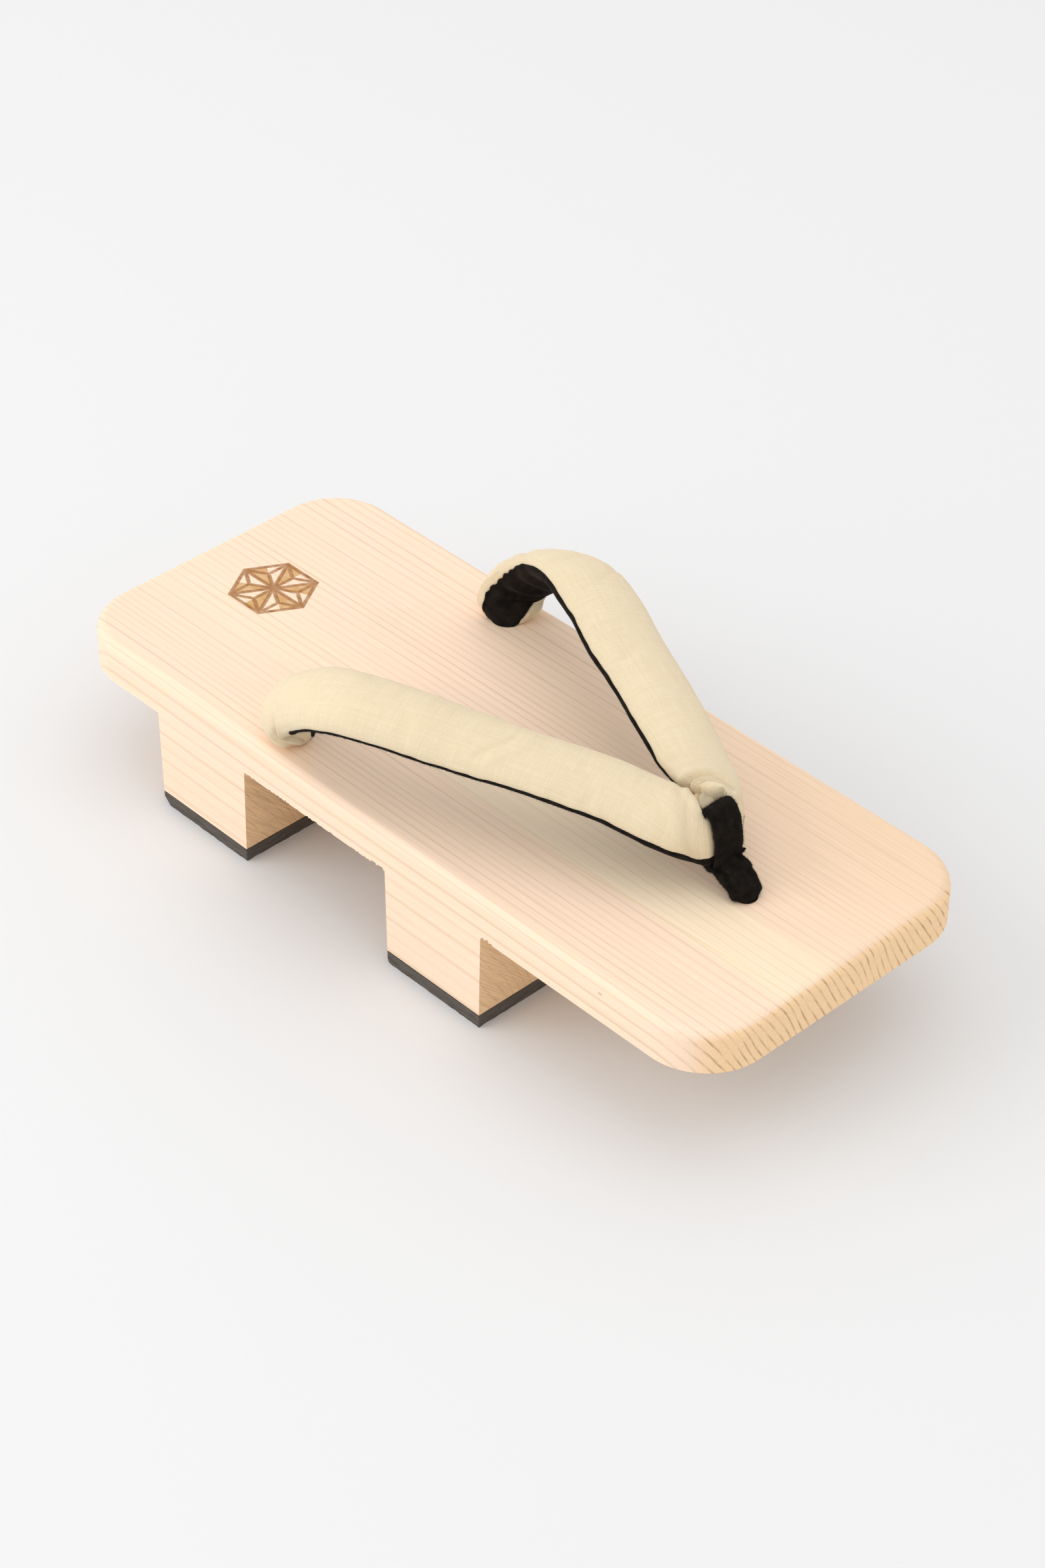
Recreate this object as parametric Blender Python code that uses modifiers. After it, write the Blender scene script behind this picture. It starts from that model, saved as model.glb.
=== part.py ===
"""Geta sandal: a wooden footbed on two teeth, two rubber treads, a padded cloth strap and a velvet toe thong.

Metres, +Z up, +Y towards the toe, +X to the wearer's right. The origin lies on the floor, under the middle
of the board. Heights along the strap are counted from the top of the board.
"""
import math

import bmesh
import bpy
import numpy as np
from mathutils import Vector

# Board and teeth, sawn from one block
BOARD_LENGTH = 0.250
BOARD_WIDTH = 0.1012
BOARD_THICKNESS = 0.0128
CORNER_RADIUS = 0.019
TOP_EDGE_RADIUS = 0.003
TOOTH_HEIGHT = 0.0271
TOOTH_LENGTH = 0.0368
TOOTH_TAPER = 0.0005
HEEL_TOOTH_FROM_HEEL = 0.0385
TOE_TOOTH_FROM_TOE = 0.0808

# Rubber treads under the teeth
TREAD_THICKNESS = 0.004
TREAD_EDGE = 0.0007
HEEL_CHAMFER = 0.0024
GLUE_LINE = 0.0003

# Holes for the strap
HEEL_HOLE_FROM_SIDE = 0.0116
HEEL_HOLE_FROM_HEEL = 0.0845
HEEL_HOLE_DIAMETER = 0.0098
TOE_HOLE_FROM_TOE = 0.0355
TOE_HOLE_DIAMETER = 0.0062
KNOT_RECESS_DIAMETER = 0.0165
KNOT_RECESS_DEPTH = 0.005
CLEARANCE = 0.0003

# Padded strap
STRAP_WIDTH = 0.022
STRAP_THICKNESS = 0.009
ARCH_HEIGHT = 0.026
NOSE_BEHIND_TOE_HOLE = 0.0103
STRAP_TUCK = 0.003
CROWN_SHARE = 0.57

# Velvet toe thong
BAND_WIDTH = 0.009
BAND_THICKNESS = 0.0019
BAND_EDGE = 0.0006
STUB_WIDTH = 0.0082
STUB_THICKNESS = 0.0058
THONG_TUCK = 0.003

# Core cords and their knots under the board
KNOT_DIAMETER = 0.0125
KNOT_HEIGHT = 0.0075

# Facets, and how far the cutters reach past what they cut
CORNER_STEPS = 10
EDGE_STEPS = 4
ROUND_STEPS = 32
SECTION_POINTS = 20
ROW_STEPS = 3
CUTTER_MARGIN = 0.004
SAME_PLACE = 1e-6
SHARP_ANGLE = math.radians(60)

# One row for each section of the right arm, from its foot on the heel hole to the nose at the toe.
# along is a share of the run from the heel holes to the nose, out of a heel hole's distance from the middle
# line, up of the arch height, wide and thick of the strap's own sizes. heading and roll turn the section, in
# degrees.
ARM_COLUMNS = ("along", "out", "up", "wide", "thick", "heading", "roll")
ARM_ROWS = (
    (0.000, 1.000, 0.018, 0.57, 1.02, 56, 0),
    (-0.004, 1.010, 0.120, 0.74, 1.17, 50, 4),
    (-0.008, 1.060, 0.280, 0.78, 1.18, 40, 16),
    (0.016, 1.110, 0.455, 0.81, 1.13, 30, 26),
    (0.060, 1.130, 0.640, 0.86, 1.10, 22, 27),
    (0.125, 1.125, 0.840, 0.92, 1.05, 17, 21),
    (0.210, 1.080, 0.970, 0.97, 1.00, 17, 12),
    (0.315, 0.965, 0.985, 1.00, 1.00, 21, 8),
    (0.455, 0.780, 0.915, 0.985, 1.00, 23, 7),
    (0.610, 0.580, 0.875, 0.94, 0.95, 23, 6),
    (0.755, 0.390, 0.805, 0.93, 0.95, 22, 8),
    (0.840, 0.280, 0.735, 0.90, 0.98, 21, 13),
    (0.890, 0.232, 0.705, 0.87, 0.98, 25, 22),
    (0.928, 0.187, 0.670, 0.82, 0.96, 33, 38),
    (0.958, 0.150, 0.635, 0.78, 0.88, 46, 56),
    (0.985, 0.136, 0.585, 0.71, 0.66, 70, 74),
    (1.000, 0.122, 0.547, 0.67, 0.40, 90, 83),
    (1.000, 0.000, 0.545, 0.67, 0.40, 90, 83),
)

# The stub of the thong, from inside the band's lower front to the mouth of the toe hole.
# ahead is a share of the run from the nose to the hole, up of the nose's height, size of the stub's own.
STUB_COLUMNS = ("ahead", "up", "size")
STUB_ROWS = (
    (0.20, 0.350, 0.86),
    (0.42, 0.385, 1.00),
    (0.66, 0.350, 0.98),
    (0.86, 0.235, 0.86),
    (0.98, 0.100, 0.72),
)

TREAD_TOP = TREAD_THICKNESS
TOOTH_FOOT = TREAD_TOP + GLUE_LINE
BOARD_UNDERSIDE = TOOTH_FOOT + TOOTH_HEIGHT
BOARD_TOP = BOARD_UNDERSIDE + BOARD_THICKNESS
HEEL_END = -BOARD_LENGTH / 2
TOE_END = BOARD_LENGTH / 2
HEEL_TOOTH = (HEEL_END + HEEL_TOOTH_FROM_HEEL, HEEL_END + HEEL_TOOTH_FROM_HEEL + TOOTH_LENGTH)
TOE_TOOTH = (TOE_END - TOE_TOOTH_FROM_TOE - TOOTH_LENGTH, TOE_END - TOE_TOOTH_FROM_TOE)
HEEL_HOLE = Vector((BOARD_WIDTH / 2 - HEEL_HOLE_FROM_SIDE, HEEL_END + HEEL_HOLE_FROM_HEEL, BOARD_TOP))
TOE_HOLE = Vector((0, TOE_END - TOE_HOLE_FROM_TOE, BOARD_TOP))
NOSE_Y = TOE_HOLE.y - NOSE_BEHIND_TOE_HOLE


def new_collection(name):
    """Makes a collection under the scene's own."""
    collection = bpy.data.collections.new(name)
    bpy.context.scene.collection.children.link(collection)
    return collection


def finish(obj, color, roughness):
    """Gives an object its own Principled material."""
    material = bpy.data.materials.new(obj.name + "_material")
    material.use_nodes = True
    shader = material.node_tree.nodes["Principled BSDF"]
    shader.inputs["Base Color"].default_value = (*color, 1)
    shader.inputs["Roughness"].default_value = roughness
    shader.inputs["Metallic"].default_value = 0
    obj.data.materials.append(material)


def add_object(name, mesh_builder, collection):
    """Writes a bmesh to a new object, its normals facing out."""
    mesh = bpy.data.meshes.new(name)
    bmesh.ops.recalc_face_normals(mesh_builder, faces=mesh_builder.faces)
    mesh_builder.to_mesh(mesh)
    mesh_builder.free()
    obj = bpy.data.objects.new(name, mesh)
    collection.objects.link(obj)
    return obj


def hide_cutter(obj):
    """Marks an object as a tool that only shapes others."""
    obj.hide_render = True
    obj.display_type = "WIRE"


def boolean(obj, cutter, operation):
    """Cuts or joins one object with another."""
    modifier = obj.modifiers.new(cutter.name, "BOOLEAN")
    modifier.operation = operation
    modifier.solver = "EXACT"
    modifier.object = cutter


def block(low, high):
    """A box between two corners, as a bmesh."""
    builder = bmesh.new()
    bmesh.ops.create_cube(builder, size=1)
    size = Vector(high) - Vector(low)
    bmesh.ops.scale(builder, vec=size, verts=builder.verts)
    bmesh.ops.translate(builder, vec=(Vector(high) + Vector(low)) / 2, verts=builder.verts)
    return builder


def bevel_edges(builder, chosen, width, steps):
    """Rounds the edges that a test picks, or chamfers them with one step."""
    edges = [edge for edge in builder.edges if chosen(edge)]
    bmesh.ops.bevel(builder, geom=edges, offset=width, segments=steps, profile=0.5, affect="EDGES")


def is_upright(edge):
    """True for an edge that runs straight up."""
    return (edge.verts[0].co - edge.verts[1].co).xy.length < SAME_PLACE


def lies_at(edge, height):
    """True for an edge at one height."""
    return all(abs(vert.co.z - height) < SAME_PLACE for vert in edge.verts)


def cylinder_cutter(name, center, diameter, low, high, collection):
    """A plain upright drill."""
    builder = bmesh.new()
    bmesh.ops.create_cone(builder, cap_ends=True, segments=ROUND_STEPS, radius1=diameter / 2,
                          radius2=diameter / 2, depth=high - low)
    bmesh.ops.translate(builder, vec=(center.x, center.y, (low + high) / 2), verts=builder.verts)
    cutter = add_object(name, builder, collection)
    hide_cutter(cutter)
    return cutter


def side_profile_cutter(collection):
    """The side view that the saw leaves: the board, and the two teeth tapering to their feet."""
    half = BOARD_LENGTH / 2 + CUTTER_MARGIN
    points = [(half, BOARD_TOP + CUTTER_MARGIN), (-half, BOARD_TOP + CUTTER_MARGIN), (-half, BOARD_UNDERSIDE)]
    for start, end in (HEEL_TOOTH, TOE_TOOTH):
        points.append((start, BOARD_UNDERSIDE))
        points.append((start + TOOTH_TAPER, TOOTH_FOOT))
        points.append((end - TOOTH_TAPER, TOOTH_FOOT))
        points.append((end, BOARD_UNDERSIDE))
    points.append((half, BOARD_UNDERSIDE))
    builder = bmesh.new()
    side = BOARD_WIDTH / 2 + CUTTER_MARGIN
    face = builder.faces.new([builder.verts.new((-side, y, z)) for y, z in points])
    swept = bmesh.ops.extrude_face_region(builder, geom=[face])
    moved = [item for item in swept["geom"] if isinstance(item, bmesh.types.BMVert)]
    bmesh.ops.translate(builder, vec=(2 * side, 0, 0), verts=moved)
    cutter = add_object("side_profile", builder, collection)
    hide_cutter(cutter)
    return cutter


def make_board(parts, cutters):
    """The footbed and both teeth, one piece of wood with rounded corners, a soft top edge and three holes."""
    builder = block((-BOARD_WIDTH / 2, HEEL_END, TREAD_TOP / 2), (BOARD_WIDTH / 2, TOE_END, BOARD_TOP))
    bevel_edges(builder, is_upright, CORNER_RADIUS, CORNER_STEPS)
    bevel_edges(builder, lambda edge: lies_at(edge, BOARD_TOP), TOP_EDGE_RADIUS, EDGE_STEPS)
    board = add_object("board", builder, parts)
    boolean(board, side_profile_cutter(cutters), "INTERSECT")
    low, high = BOARD_UNDERSIDE - CUTTER_MARGIN, BOARD_TOP + CUTTER_MARGIN
    left_hole = Vector((-HEEL_HOLE.x, HEEL_HOLE.y, HEEL_HOLE.z))
    drills = [
        cylinder_cutter("drill_right", HEEL_HOLE, HEEL_HOLE_DIAMETER, low, high, cutters),
        cylinder_cutter("drill_left", left_hole, HEEL_HOLE_DIAMETER, low, high, cutters),
        cylinder_cutter("drill_toe", TOE_HOLE, TOE_HOLE_DIAMETER, low, high, cutters),
        cylinder_cutter("drill_recess", TOE_HOLE, KNOT_RECESS_DIAMETER, low,
                        BOARD_UNDERSIDE + KNOT_RECESS_DEPTH, cutters),
    ]
    for drill in drills:
        boolean(board, drill, "DIFFERENCE")
    finish(board, (0.87, 0.73, 0.55), 0.55)


def make_tread(name, tooth, heel_edge, parts):
    """A rubber pad under one tooth, its lower edges worn and its heel edge cut back."""
    start, end = tooth[0] + TOOTH_TAPER, tooth[1] - TOOTH_TAPER
    builder = block((-BOARD_WIDTH / 2, start, 0), (BOARD_WIDTH / 2, end, TREAD_THICKNESS))

    def at_heel(edge):
        return lies_at(edge, 0) and all(abs(vert.co.y - start) < SAME_PLACE for vert in edge.verts)

    def still_sharp(edge):
        return lies_at(edge, 0) and edge.calc_face_angle(0) > SHARP_ANGLE

    bevel_edges(builder, at_heel, heel_edge, 1)
    bevel_edges(builder, still_sharp, TREAD_EDGE, 1)
    tread = add_object(name, builder, parts)
    finish(tread, (0.075, 0.062, 0.052), 0.85)


def hermite(knots, values, where):
    """Reads a smooth curve through rows of values at the given places."""
    slopes = np.gradient(values, knots, axis=0)
    right = np.clip(np.searchsorted(knots, where, side="right"), 1, len(knots) - 1)
    left = right - 1
    span = (knots[right] - knots[left])[:, None]
    t = ((where - knots[left]) / (knots[right] - knots[left]))[:, None]
    ease = t * t * (3 - 2 * t)
    leave = t * (1 - t) ** 2 * span * slopes[left]
    arrive = t * t * (t - 1) * span * slopes[right]
    return values[left] * (1 - ease) + values[right] * ease + leave + arrive


def between(knots, steps):
    """Places along a row of knots, each stretch cut into equal steps."""
    pieces = [np.linspace(first, last, steps, endpoint=False) for first, last in zip(knots, knots[1:])]
    return np.concatenate([*pieces, knots[-1:]])


def arm_frames():
    """Places, sizes and directions of the right arm's sections, foot to nose, in metres and radians.

    The last stretch, inside the thong's band, is straight.
    """
    run = NOSE_Y - HEEL_HOLE.y
    rows = []
    for row in ARM_ROWS:
        share = dict(zip(ARM_COLUMNS, row))
        rows.append((
            share["out"] * HEEL_HOLE.x,
            HEEL_HOLE.y + share["along"] * run,
            BOARD_TOP + share["up"] * ARCH_HEIGHT,
            share["wide"] * STRAP_WIDTH,
            share["thick"] * STRAP_THICKNESS,
            math.radians(share["heading"]),
            math.radians(share["roll"]),
        ))
    values = np.array(rows)
    past_nose = values[-2].copy()
    past_nose[0] *= -1
    values = np.vstack([values, past_nose])
    steps = np.linalg.norm(np.diff(values[:, :3], axis=0), axis=1)
    knots = np.concatenate([[0], np.cumsum(steps)])
    frames = hermite(knots, values, between(knots[:-1], ROW_STEPS))
    in_band = slice(-ROW_STEPS - 1, None)
    frames[in_band, 1:] = values[-1, 1:]
    return frames


def section_ring(center, tangent, wide, thick, heading, roll, crown_share=CROWN_SHARE):
    """The outline of one section: crowned on the cloth side, flatter on the foot side."""
    across = np.array([math.cos(heading) * math.cos(roll), math.sin(heading) * math.cos(roll), -math.sin(roll)])
    crown = np.cross(across, tangent)
    crown /= np.linalg.norm(crown)
    ring = []
    for step in range(SECTION_POINTS):
        angle = 2 * math.pi * step / SECTION_POINTS
        rise = math.sin(angle) * thick * (crown_share if math.sin(angle) > 0 else 1 - crown_share)
        ring.append(center + across * math.cos(angle) * wide / 2 + crown * rise)
    return ring


def loft(rings, close_start, close_end):
    """Skins a row of rings that have equally many points."""
    builder = bmesh.new()
    loops = [[builder.verts.new(point) for point in ring] for ring in rings]
    for first, second in zip(loops, loops[1:]):
        for index in range(len(first)):
            after = (index + 1) % len(first)
            builder.faces.new((first[index], first[after], second[after], second[index]))
    if close_start:
        builder.faces.new(loops[0])
    if close_end:
        builder.faces.new(loops[-1])
    return builder


def plug_rings(heading):
    """The strap's round end, from its lower face in the heel hole up to the top of the board."""
    size = HEEL_HOLE_DIAMETER - 2 * CLEARANCE
    rings = []
    for depth in (STRAP_TUCK, 0):
        center = np.array([HEEL_HOLE.x, HEEL_HOLE.y, BOARD_TOP - depth])
        rings.append(section_ring(center, (0, 0, 1), size, size, heading, 0, crown_share=0.5))
    return rings


def nearest_to_middle(y):
    """How near the middle plane an arm may come: they press on each other, then on the band's sides."""
    rear = NOSE_Y - STRAP_THICKNESS / 2
    return np.interp(y, (rear - BAND_WIDTH / 2, rear), (CLEARANCE / 2, BAND_WIDTH / 2 + CLEARANCE))


def make_strap(parts):
    """The padded strap: the right arm from its plug in the heel hole to the nose, mirrored to the left."""
    frames = arm_frames()
    tangents = np.gradient(frames[:, :3], axis=0)
    tangents[0] = (0, 0, 1)
    tangents[-1] = (-1, 0, 0)
    rings = plug_rings(frames[0][5])
    for frame, tangent in zip(frames, tangents):
        wide, thick, heading, roll = frame[3:]
        rings.append(section_ring(frame[:3], tangent, wide, thick, heading, roll))
    for ring in rings[:-ROW_STEPS]:
        for point in ring:
            point[0] = max(point[0], nearest_to_middle(point[1]))
    for point in rings[-1]:
        point[0] = 0
    strap = add_object("strap", loft(rings, True, False), parts)
    mirror = strap.modifiers.new("left_arm", "MIRROR")
    mirror.merge_threshold = 0.00002
    finish(strap, (0.88, 0.77, 0.55), 0.9)


def nose_section():
    """Center, width axis, crown axis and half sizes of the strap at its nose."""
    share = dict(zip(ARM_COLUMNS, ARM_ROWS[-1]))
    roll = math.radians(share["roll"])
    center = Vector((0, NOSE_Y, BOARD_TOP + share["up"] * ARCH_HEIGHT))
    across = Vector((0, math.cos(roll), -math.sin(roll)))
    crown = Vector((0, math.sin(roll), math.cos(roll)))
    return center, across, crown, share["wide"] * STRAP_WIDTH / 2, share["thick"] * STRAP_THICKNESS


def nose_prism(name, grow, half_width, edge, collection):
    """A prism across the sandal, the nose's own outline grown by a distance."""
    center, across, crown, half_wide, thick = nose_section()
    rings = []
    for x in (-half_width, half_width):
        ring = []
        for step in range(ROUND_STEPS):
            angle = 2 * math.pi * step / ROUND_STEPS
            share = CROWN_SHARE if math.sin(angle) > 0 else 1 - CROWN_SHARE
            point = center + across * math.cos(angle) * (half_wide + grow)
            point = point + crown * math.sin(angle) * (thick * share + grow)
            ring.append((x, point.y, point.z))
        rings.append(ring)
    builder = loft(rings, True, True)
    if edge:
        bevel_edges(builder, lambda item: len({round(v.co.x, 7) for v in item.verts}) == 1, edge, 2)
    return add_object(name, builder, collection)


def stub_rings():
    """Rings of the thong's stub, from the band down into the toe hole."""
    center = nose_section()[0]
    height = center.z - BOARD_TOP
    rows = []
    for row in STUB_ROWS:
        share = dict(zip(STUB_COLUMNS, row))
        rows.append((0, NOSE_Y + share["ahead"] * NOSE_BEHIND_TOE_HOLE, BOARD_TOP + share["up"] * height,
                     share["size"] * STUB_WIDTH / 2, share["size"] * STUB_THICKNESS / 2))
    values = np.array(rows)
    steps = np.linalg.norm(np.diff(values[:, :3], axis=0), axis=1)
    knots = np.concatenate([[0], np.cumsum(steps)])
    frames = hermite(knots, values, between(knots, ROW_STEPS))
    plug = TOE_HOLE_DIAMETER / 2 - CLEARANCE
    bottom = [(0, TOE_HOLE.y, BOARD_TOP - depth, plug, plug) for depth in (0, THONG_TUCK)]
    frames = np.vstack([frames, bottom])
    tangents = np.gradient(frames[:, :3], axis=0)
    tangents[-1] = tangents[-2] = (0, 0, -1)
    rings = []
    for frame, tangent in zip(frames, tangents):
        tangent = tangent / np.linalg.norm(tangent)
        over = np.array([0, -tangent[2], tangent[1]])
        angles = [2 * math.pi * step / SECTION_POINTS for step in range(SECTION_POINTS)]
        rings.append([frame[:3] + np.array([math.cos(a) * frame[3], 0, 0]) + over * math.sin(a) * frame[4]
                      for a in angles])
    return rings


def make_toe_thong(parts, cutters):
    """The velvet band round the nose of the strap, and the stub that pulls it into the toe hole."""
    thong = nose_prism("toe_thong", CLEARANCE + BAND_THICKNESS, BAND_WIDTH / 2, BAND_EDGE, parts)
    stub = add_object("thong_stub", loft(stub_rings(), True, True), cutters)
    hide_cutter(stub)
    boolean(thong, stub, "UNION")
    eye = nose_prism("thong_eye", CLEARANCE, BAND_WIDTH / 2 + CUTTER_MARGIN, 0, cutters)
    hide_cutter(eye)
    boolean(thong, eye, "DIFFERENCE")
    finish(thong, (0.018, 0.014, 0.012), 0.95)


def make_knot(name, hole, hole_diameter, tuck, seat, parts):
    """The core cord below a hole's plug, and the plain round knot that stops it on its seat."""
    neck = hole_diameter / 2 - CLEARANCE
    top = BOARD_TOP - tuck - CLEARANCE
    shoulder = seat - CLEARANCE
    points = [(0, top), (neck, top), (neck, shoulder)]
    for step in range(ROUND_STEPS // 4 + 1):
        angle = math.pi / 3 - (math.pi / 3 + math.pi / 2) * step / (ROUND_STEPS // 4)
        middle = shoulder - KNOT_HEIGHT * math.sin(math.pi / 3) / (1 + math.sin(math.pi / 3))
        half_height = KNOT_HEIGHT / (1 + math.sin(math.pi / 3))
        points.append((math.cos(angle) * KNOT_DIAMETER / 2, middle + math.sin(angle) * half_height))
    points[-1] = (0, points[-1][1])
    builder = bmesh.new()
    verts = [builder.verts.new((radius, 0, height)) for radius, height in points]
    for first, second in zip(verts, verts[1:]):
        builder.edges.new((first, second))
    mesh = bpy.data.meshes.new(name)
    builder.to_mesh(mesh)
    builder.free()
    knot = bpy.data.objects.new(name, mesh)
    parts.objects.link(knot)
    knot.location = (hole.x, hole.y, 0)
    screw = knot.modifiers.new("turned", "SCREW")
    screw.steps = screw.render_steps = ROUND_STEPS // 2
    screw.use_merge_vertices = True
    screw.merge_threshold = 0.00001
    finish(knot, (0.55, 0.48, 0.36), 0.9)


def main():
    for obj in list(bpy.data.objects):
        bpy.data.objects.remove(obj, do_unlink=True)
    parts = new_collection("geta_sandal")
    cutters = new_collection("cutters")
    make_board(parts, cutters)
    make_tread("heel_tread", HEEL_TOOTH, HEEL_CHAMFER, parts)
    make_tread("toe_tread", TOE_TOOTH, TREAD_EDGE, parts)
    make_strap(parts)
    make_toe_thong(parts, cutters)
    left_hole = Vector((-HEEL_HOLE.x, HEEL_HOLE.y, HEEL_HOLE.z))
    make_knot("knot_right", HEEL_HOLE, HEEL_HOLE_DIAMETER, STRAP_TUCK, BOARD_UNDERSIDE, parts)
    make_knot("knot_left", left_hole, HEEL_HOLE_DIAMETER, STRAP_TUCK, BOARD_UNDERSIDE, parts)
    make_knot("knot_toe", TOE_HOLE, TOE_HOLE_DIAMETER, THONG_TUCK, BOARD_UNDERSIDE + KNOT_RECESS_DEPTH, parts)


main()
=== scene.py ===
# %% [markdown]
# # A geta sandal
# A geta is a wooden sandal that stands on two teeth. This file dresses the exact model of one sandal:
# pale softwood with its grain, a padded cloth strap lined with black velvet, a velvet toe thong, and
# rubber under the teeth. The exact model comes in as a fixed frame, and every piece made here stays
# where its solid is.

# %% Load the exact model
import math

import bmesh
import bpy
import numpy as np
from mathutils import Matrix, Vector, noise


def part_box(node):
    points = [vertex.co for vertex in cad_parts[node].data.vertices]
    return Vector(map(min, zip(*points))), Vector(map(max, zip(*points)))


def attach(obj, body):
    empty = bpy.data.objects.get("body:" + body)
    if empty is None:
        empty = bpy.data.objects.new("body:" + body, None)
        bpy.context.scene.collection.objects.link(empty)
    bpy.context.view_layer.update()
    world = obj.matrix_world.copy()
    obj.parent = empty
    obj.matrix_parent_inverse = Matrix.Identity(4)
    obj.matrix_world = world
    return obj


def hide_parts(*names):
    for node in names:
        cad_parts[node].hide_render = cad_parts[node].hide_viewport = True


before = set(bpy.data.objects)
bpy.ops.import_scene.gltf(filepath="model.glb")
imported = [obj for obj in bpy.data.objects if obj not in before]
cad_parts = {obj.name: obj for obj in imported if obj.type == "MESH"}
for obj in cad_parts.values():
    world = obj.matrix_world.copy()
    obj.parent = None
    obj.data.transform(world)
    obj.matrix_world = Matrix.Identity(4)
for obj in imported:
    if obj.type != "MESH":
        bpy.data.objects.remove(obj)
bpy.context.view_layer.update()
MM = 0.001
print("solids:", ", ".join(sorted(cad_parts)))

# %% [markdown]
# ## Camera
# The photograph looks down on the toe from the wearer's right. The place of the camera and its lens were
# found by matching the corners and edges of the board. It could be turned by hand until it looks right,
# but a match of the edges also gives the sizes. Here it looks at the one sandal, a little closer than in
# the photo.

# %% The camera
CAMERA_PLACE = Vector((0.5427, 0.5719, 0.6516))
CAMERA_TARGET = Vector((0.0098, 0.0169, 0.0440))
CAMERA_ROLL = math.radians(0.52)
LENS = 85.0
SENSOR = 36.0


def look_at(place, target, roll):
    """A camera's matrix that looks from a place to a target, turned about its own axis."""
    matrix = (target - place).to_track_quat("-Z", "Y").to_matrix().to_4x4()
    matrix = matrix @ Matrix.Rotation(roll, 4, "Z")
    matrix.translation = place
    return matrix


camera_data = bpy.data.cameras.new("camera")
camera_data.lens = LENS
camera_data.sensor_width = SENSOR
camera_data.clip_start = 0.05
camera = bpy.data.objects.new("camera", camera_data)
bpy.context.scene.collection.objects.link(camera)
camera.matrix_world = look_at(CAMERA_PLACE, CAMERA_TARGET, CAMERA_ROLL)
bpy.context.scene.camera = camera
print("camera distance, mm:", round((CAMERA_PLACE - CAMERA_TARGET).length / MM))

# %% [markdown]
# ## Light and floor
# The sandal stands on a white table by a large window. One big area lamp stands for the window and gives
# the soft shadows. A weak lamp above and a pale world fill them, so the toe and the fronts of the teeth
# are darker than the side that faces the window. The floor is a plain pale plane.

# %% Lamps, world and floor
# Each lamp: place and target, size in metres and power in watts
WINDOW = ((1.25, -0.78, 0.76), (0, 0, 0.03), 1.3, 9.8)
CEILING = ((-0.2, 0.1, 1.6), (0, 0, 0), 1.8, 4.0)
WORLD_STRENGTH = 0.91
WORLD_COLOR = (1.0, 0.995, 0.99, 1)
FLOOR_SIZE = 4.0
FLOOR_COLOR = (0.785, 0.789, 0.795, 1)


def add_lamp(name, place, target, size, power):
    """A square area lamp that points at a target."""
    data = bpy.data.lights.new(name, "AREA")
    data.shape = "SQUARE"
    data.size = size
    data.energy = power
    lamp = bpy.data.objects.new(name, data)
    bpy.context.scene.collection.objects.link(lamp)
    lamp.matrix_world = look_at(Vector(place), Vector(target), 0)


add_lamp("window", *WINDOW)
add_lamp("ceiling", *CEILING)

world = bpy.data.worlds.new("room")
bpy.context.scene.world = world
world.use_nodes = True
background = world.node_tree.nodes["Background"].inputs
background["Color"].default_value = WORLD_COLOR
background["Strength"].default_value = WORLD_STRENGTH
bpy.context.scene.view_settings.view_transform = "Standard"


def new_object(name, mesh):
    """Links a mesh to the scene under a name."""
    mesh.name = name
    obj = bpy.data.objects.new(name, mesh)
    bpy.context.scene.collection.objects.link(obj)
    return obj


def mesh_from(points, faces):
    """A mesh from lists of points and faces."""
    mesh = bpy.data.meshes.new("mesh")
    mesh.from_pydata([tuple(point) for point in points], [], faces)
    mesh.update()
    return mesh


half = FLOOR_SIZE / 2
corners = [(-half, -half, 0), (half, -half, 0), (half, half, 0), (-half, half, 0)]
floor = new_object("floor", mesh_from(corners, [(0, 1, 2, 3)]))

# %% [markdown]
# ## Helpers for materials
# A material is a graph of nodes. These short helpers place a node, set its plain values and wire it up,
# so a finish reads from top to bottom. An effect that several finishes share is a node group with named
# sockets.

# %% Node helpers


def new_material(name):
    """A material with its node tree and its Principled shader."""
    material = bpy.data.materials.new(name)
    material.use_nodes = True
    tree = material.node_tree
    return material, tree, tree.nodes["Principled BSDF"]


def fill(made, values):
    """Wires or sets the inputs of a node, by name or number."""
    for key, value in values.items():
        if isinstance(value, bpy.types.NodeSocket):
            made.id_data.links.new(value, made.inputs[key])
        else:
            made.inputs[key].default_value = value
    return made


def node(tree, kind, values=None, **settings):
    """Adds a node. values are for its inputs, and settings for its properties."""
    made = tree.nodes.new(kind)
    for key, value in settings.items():
        setattr(made, key, value)
    return fill(made, values or {})


def object_place(tree):
    """The place of a point in its object's own axes, in metres."""
    return node(tree, "ShaderNodeTexCoord").outputs["Object"]


def split_xyz(tree, place):
    """The X, Y and Z of a place or a direction."""
    return node(tree, "ShaderNodeSeparateXYZ", {0: place}).outputs


def maths(tree, operation, first, second=0.0, third=0.0):
    """One step of arithmetic, as a socket."""
    return node(tree, "ShaderNodeMath", {0: first, 1: second, 2: third}, operation=operation).outputs[0]


def times(tree, first, second):
    """The product of two values, as a socket."""
    return maths(tree, "MULTIPLY", first, second)


def vector_maths(tree, operation, first, second=(0, 0, 0), output="Vector"):
    """One step of vector arithmetic, as a socket."""
    return node(tree, "ShaderNodeVectorMath", {0: first, 1: second}, operation=operation).outputs[output]


def scaled_noise(tree, place, scale, stretch=(1, 1, 1), detail=2.0, roughness=0.5):
    """Noise over a place, stretched along its axes, as a socket from 0 to 1."""
    stretched = vector_maths(tree, "MULTIPLY", place, stretch)
    return node(tree, "ShaderNodeTexNoise", {"Vector": stretched, "Scale": scale, "Detail": detail,
                                             "Roughness": roughness}).outputs["Fac"]


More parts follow.
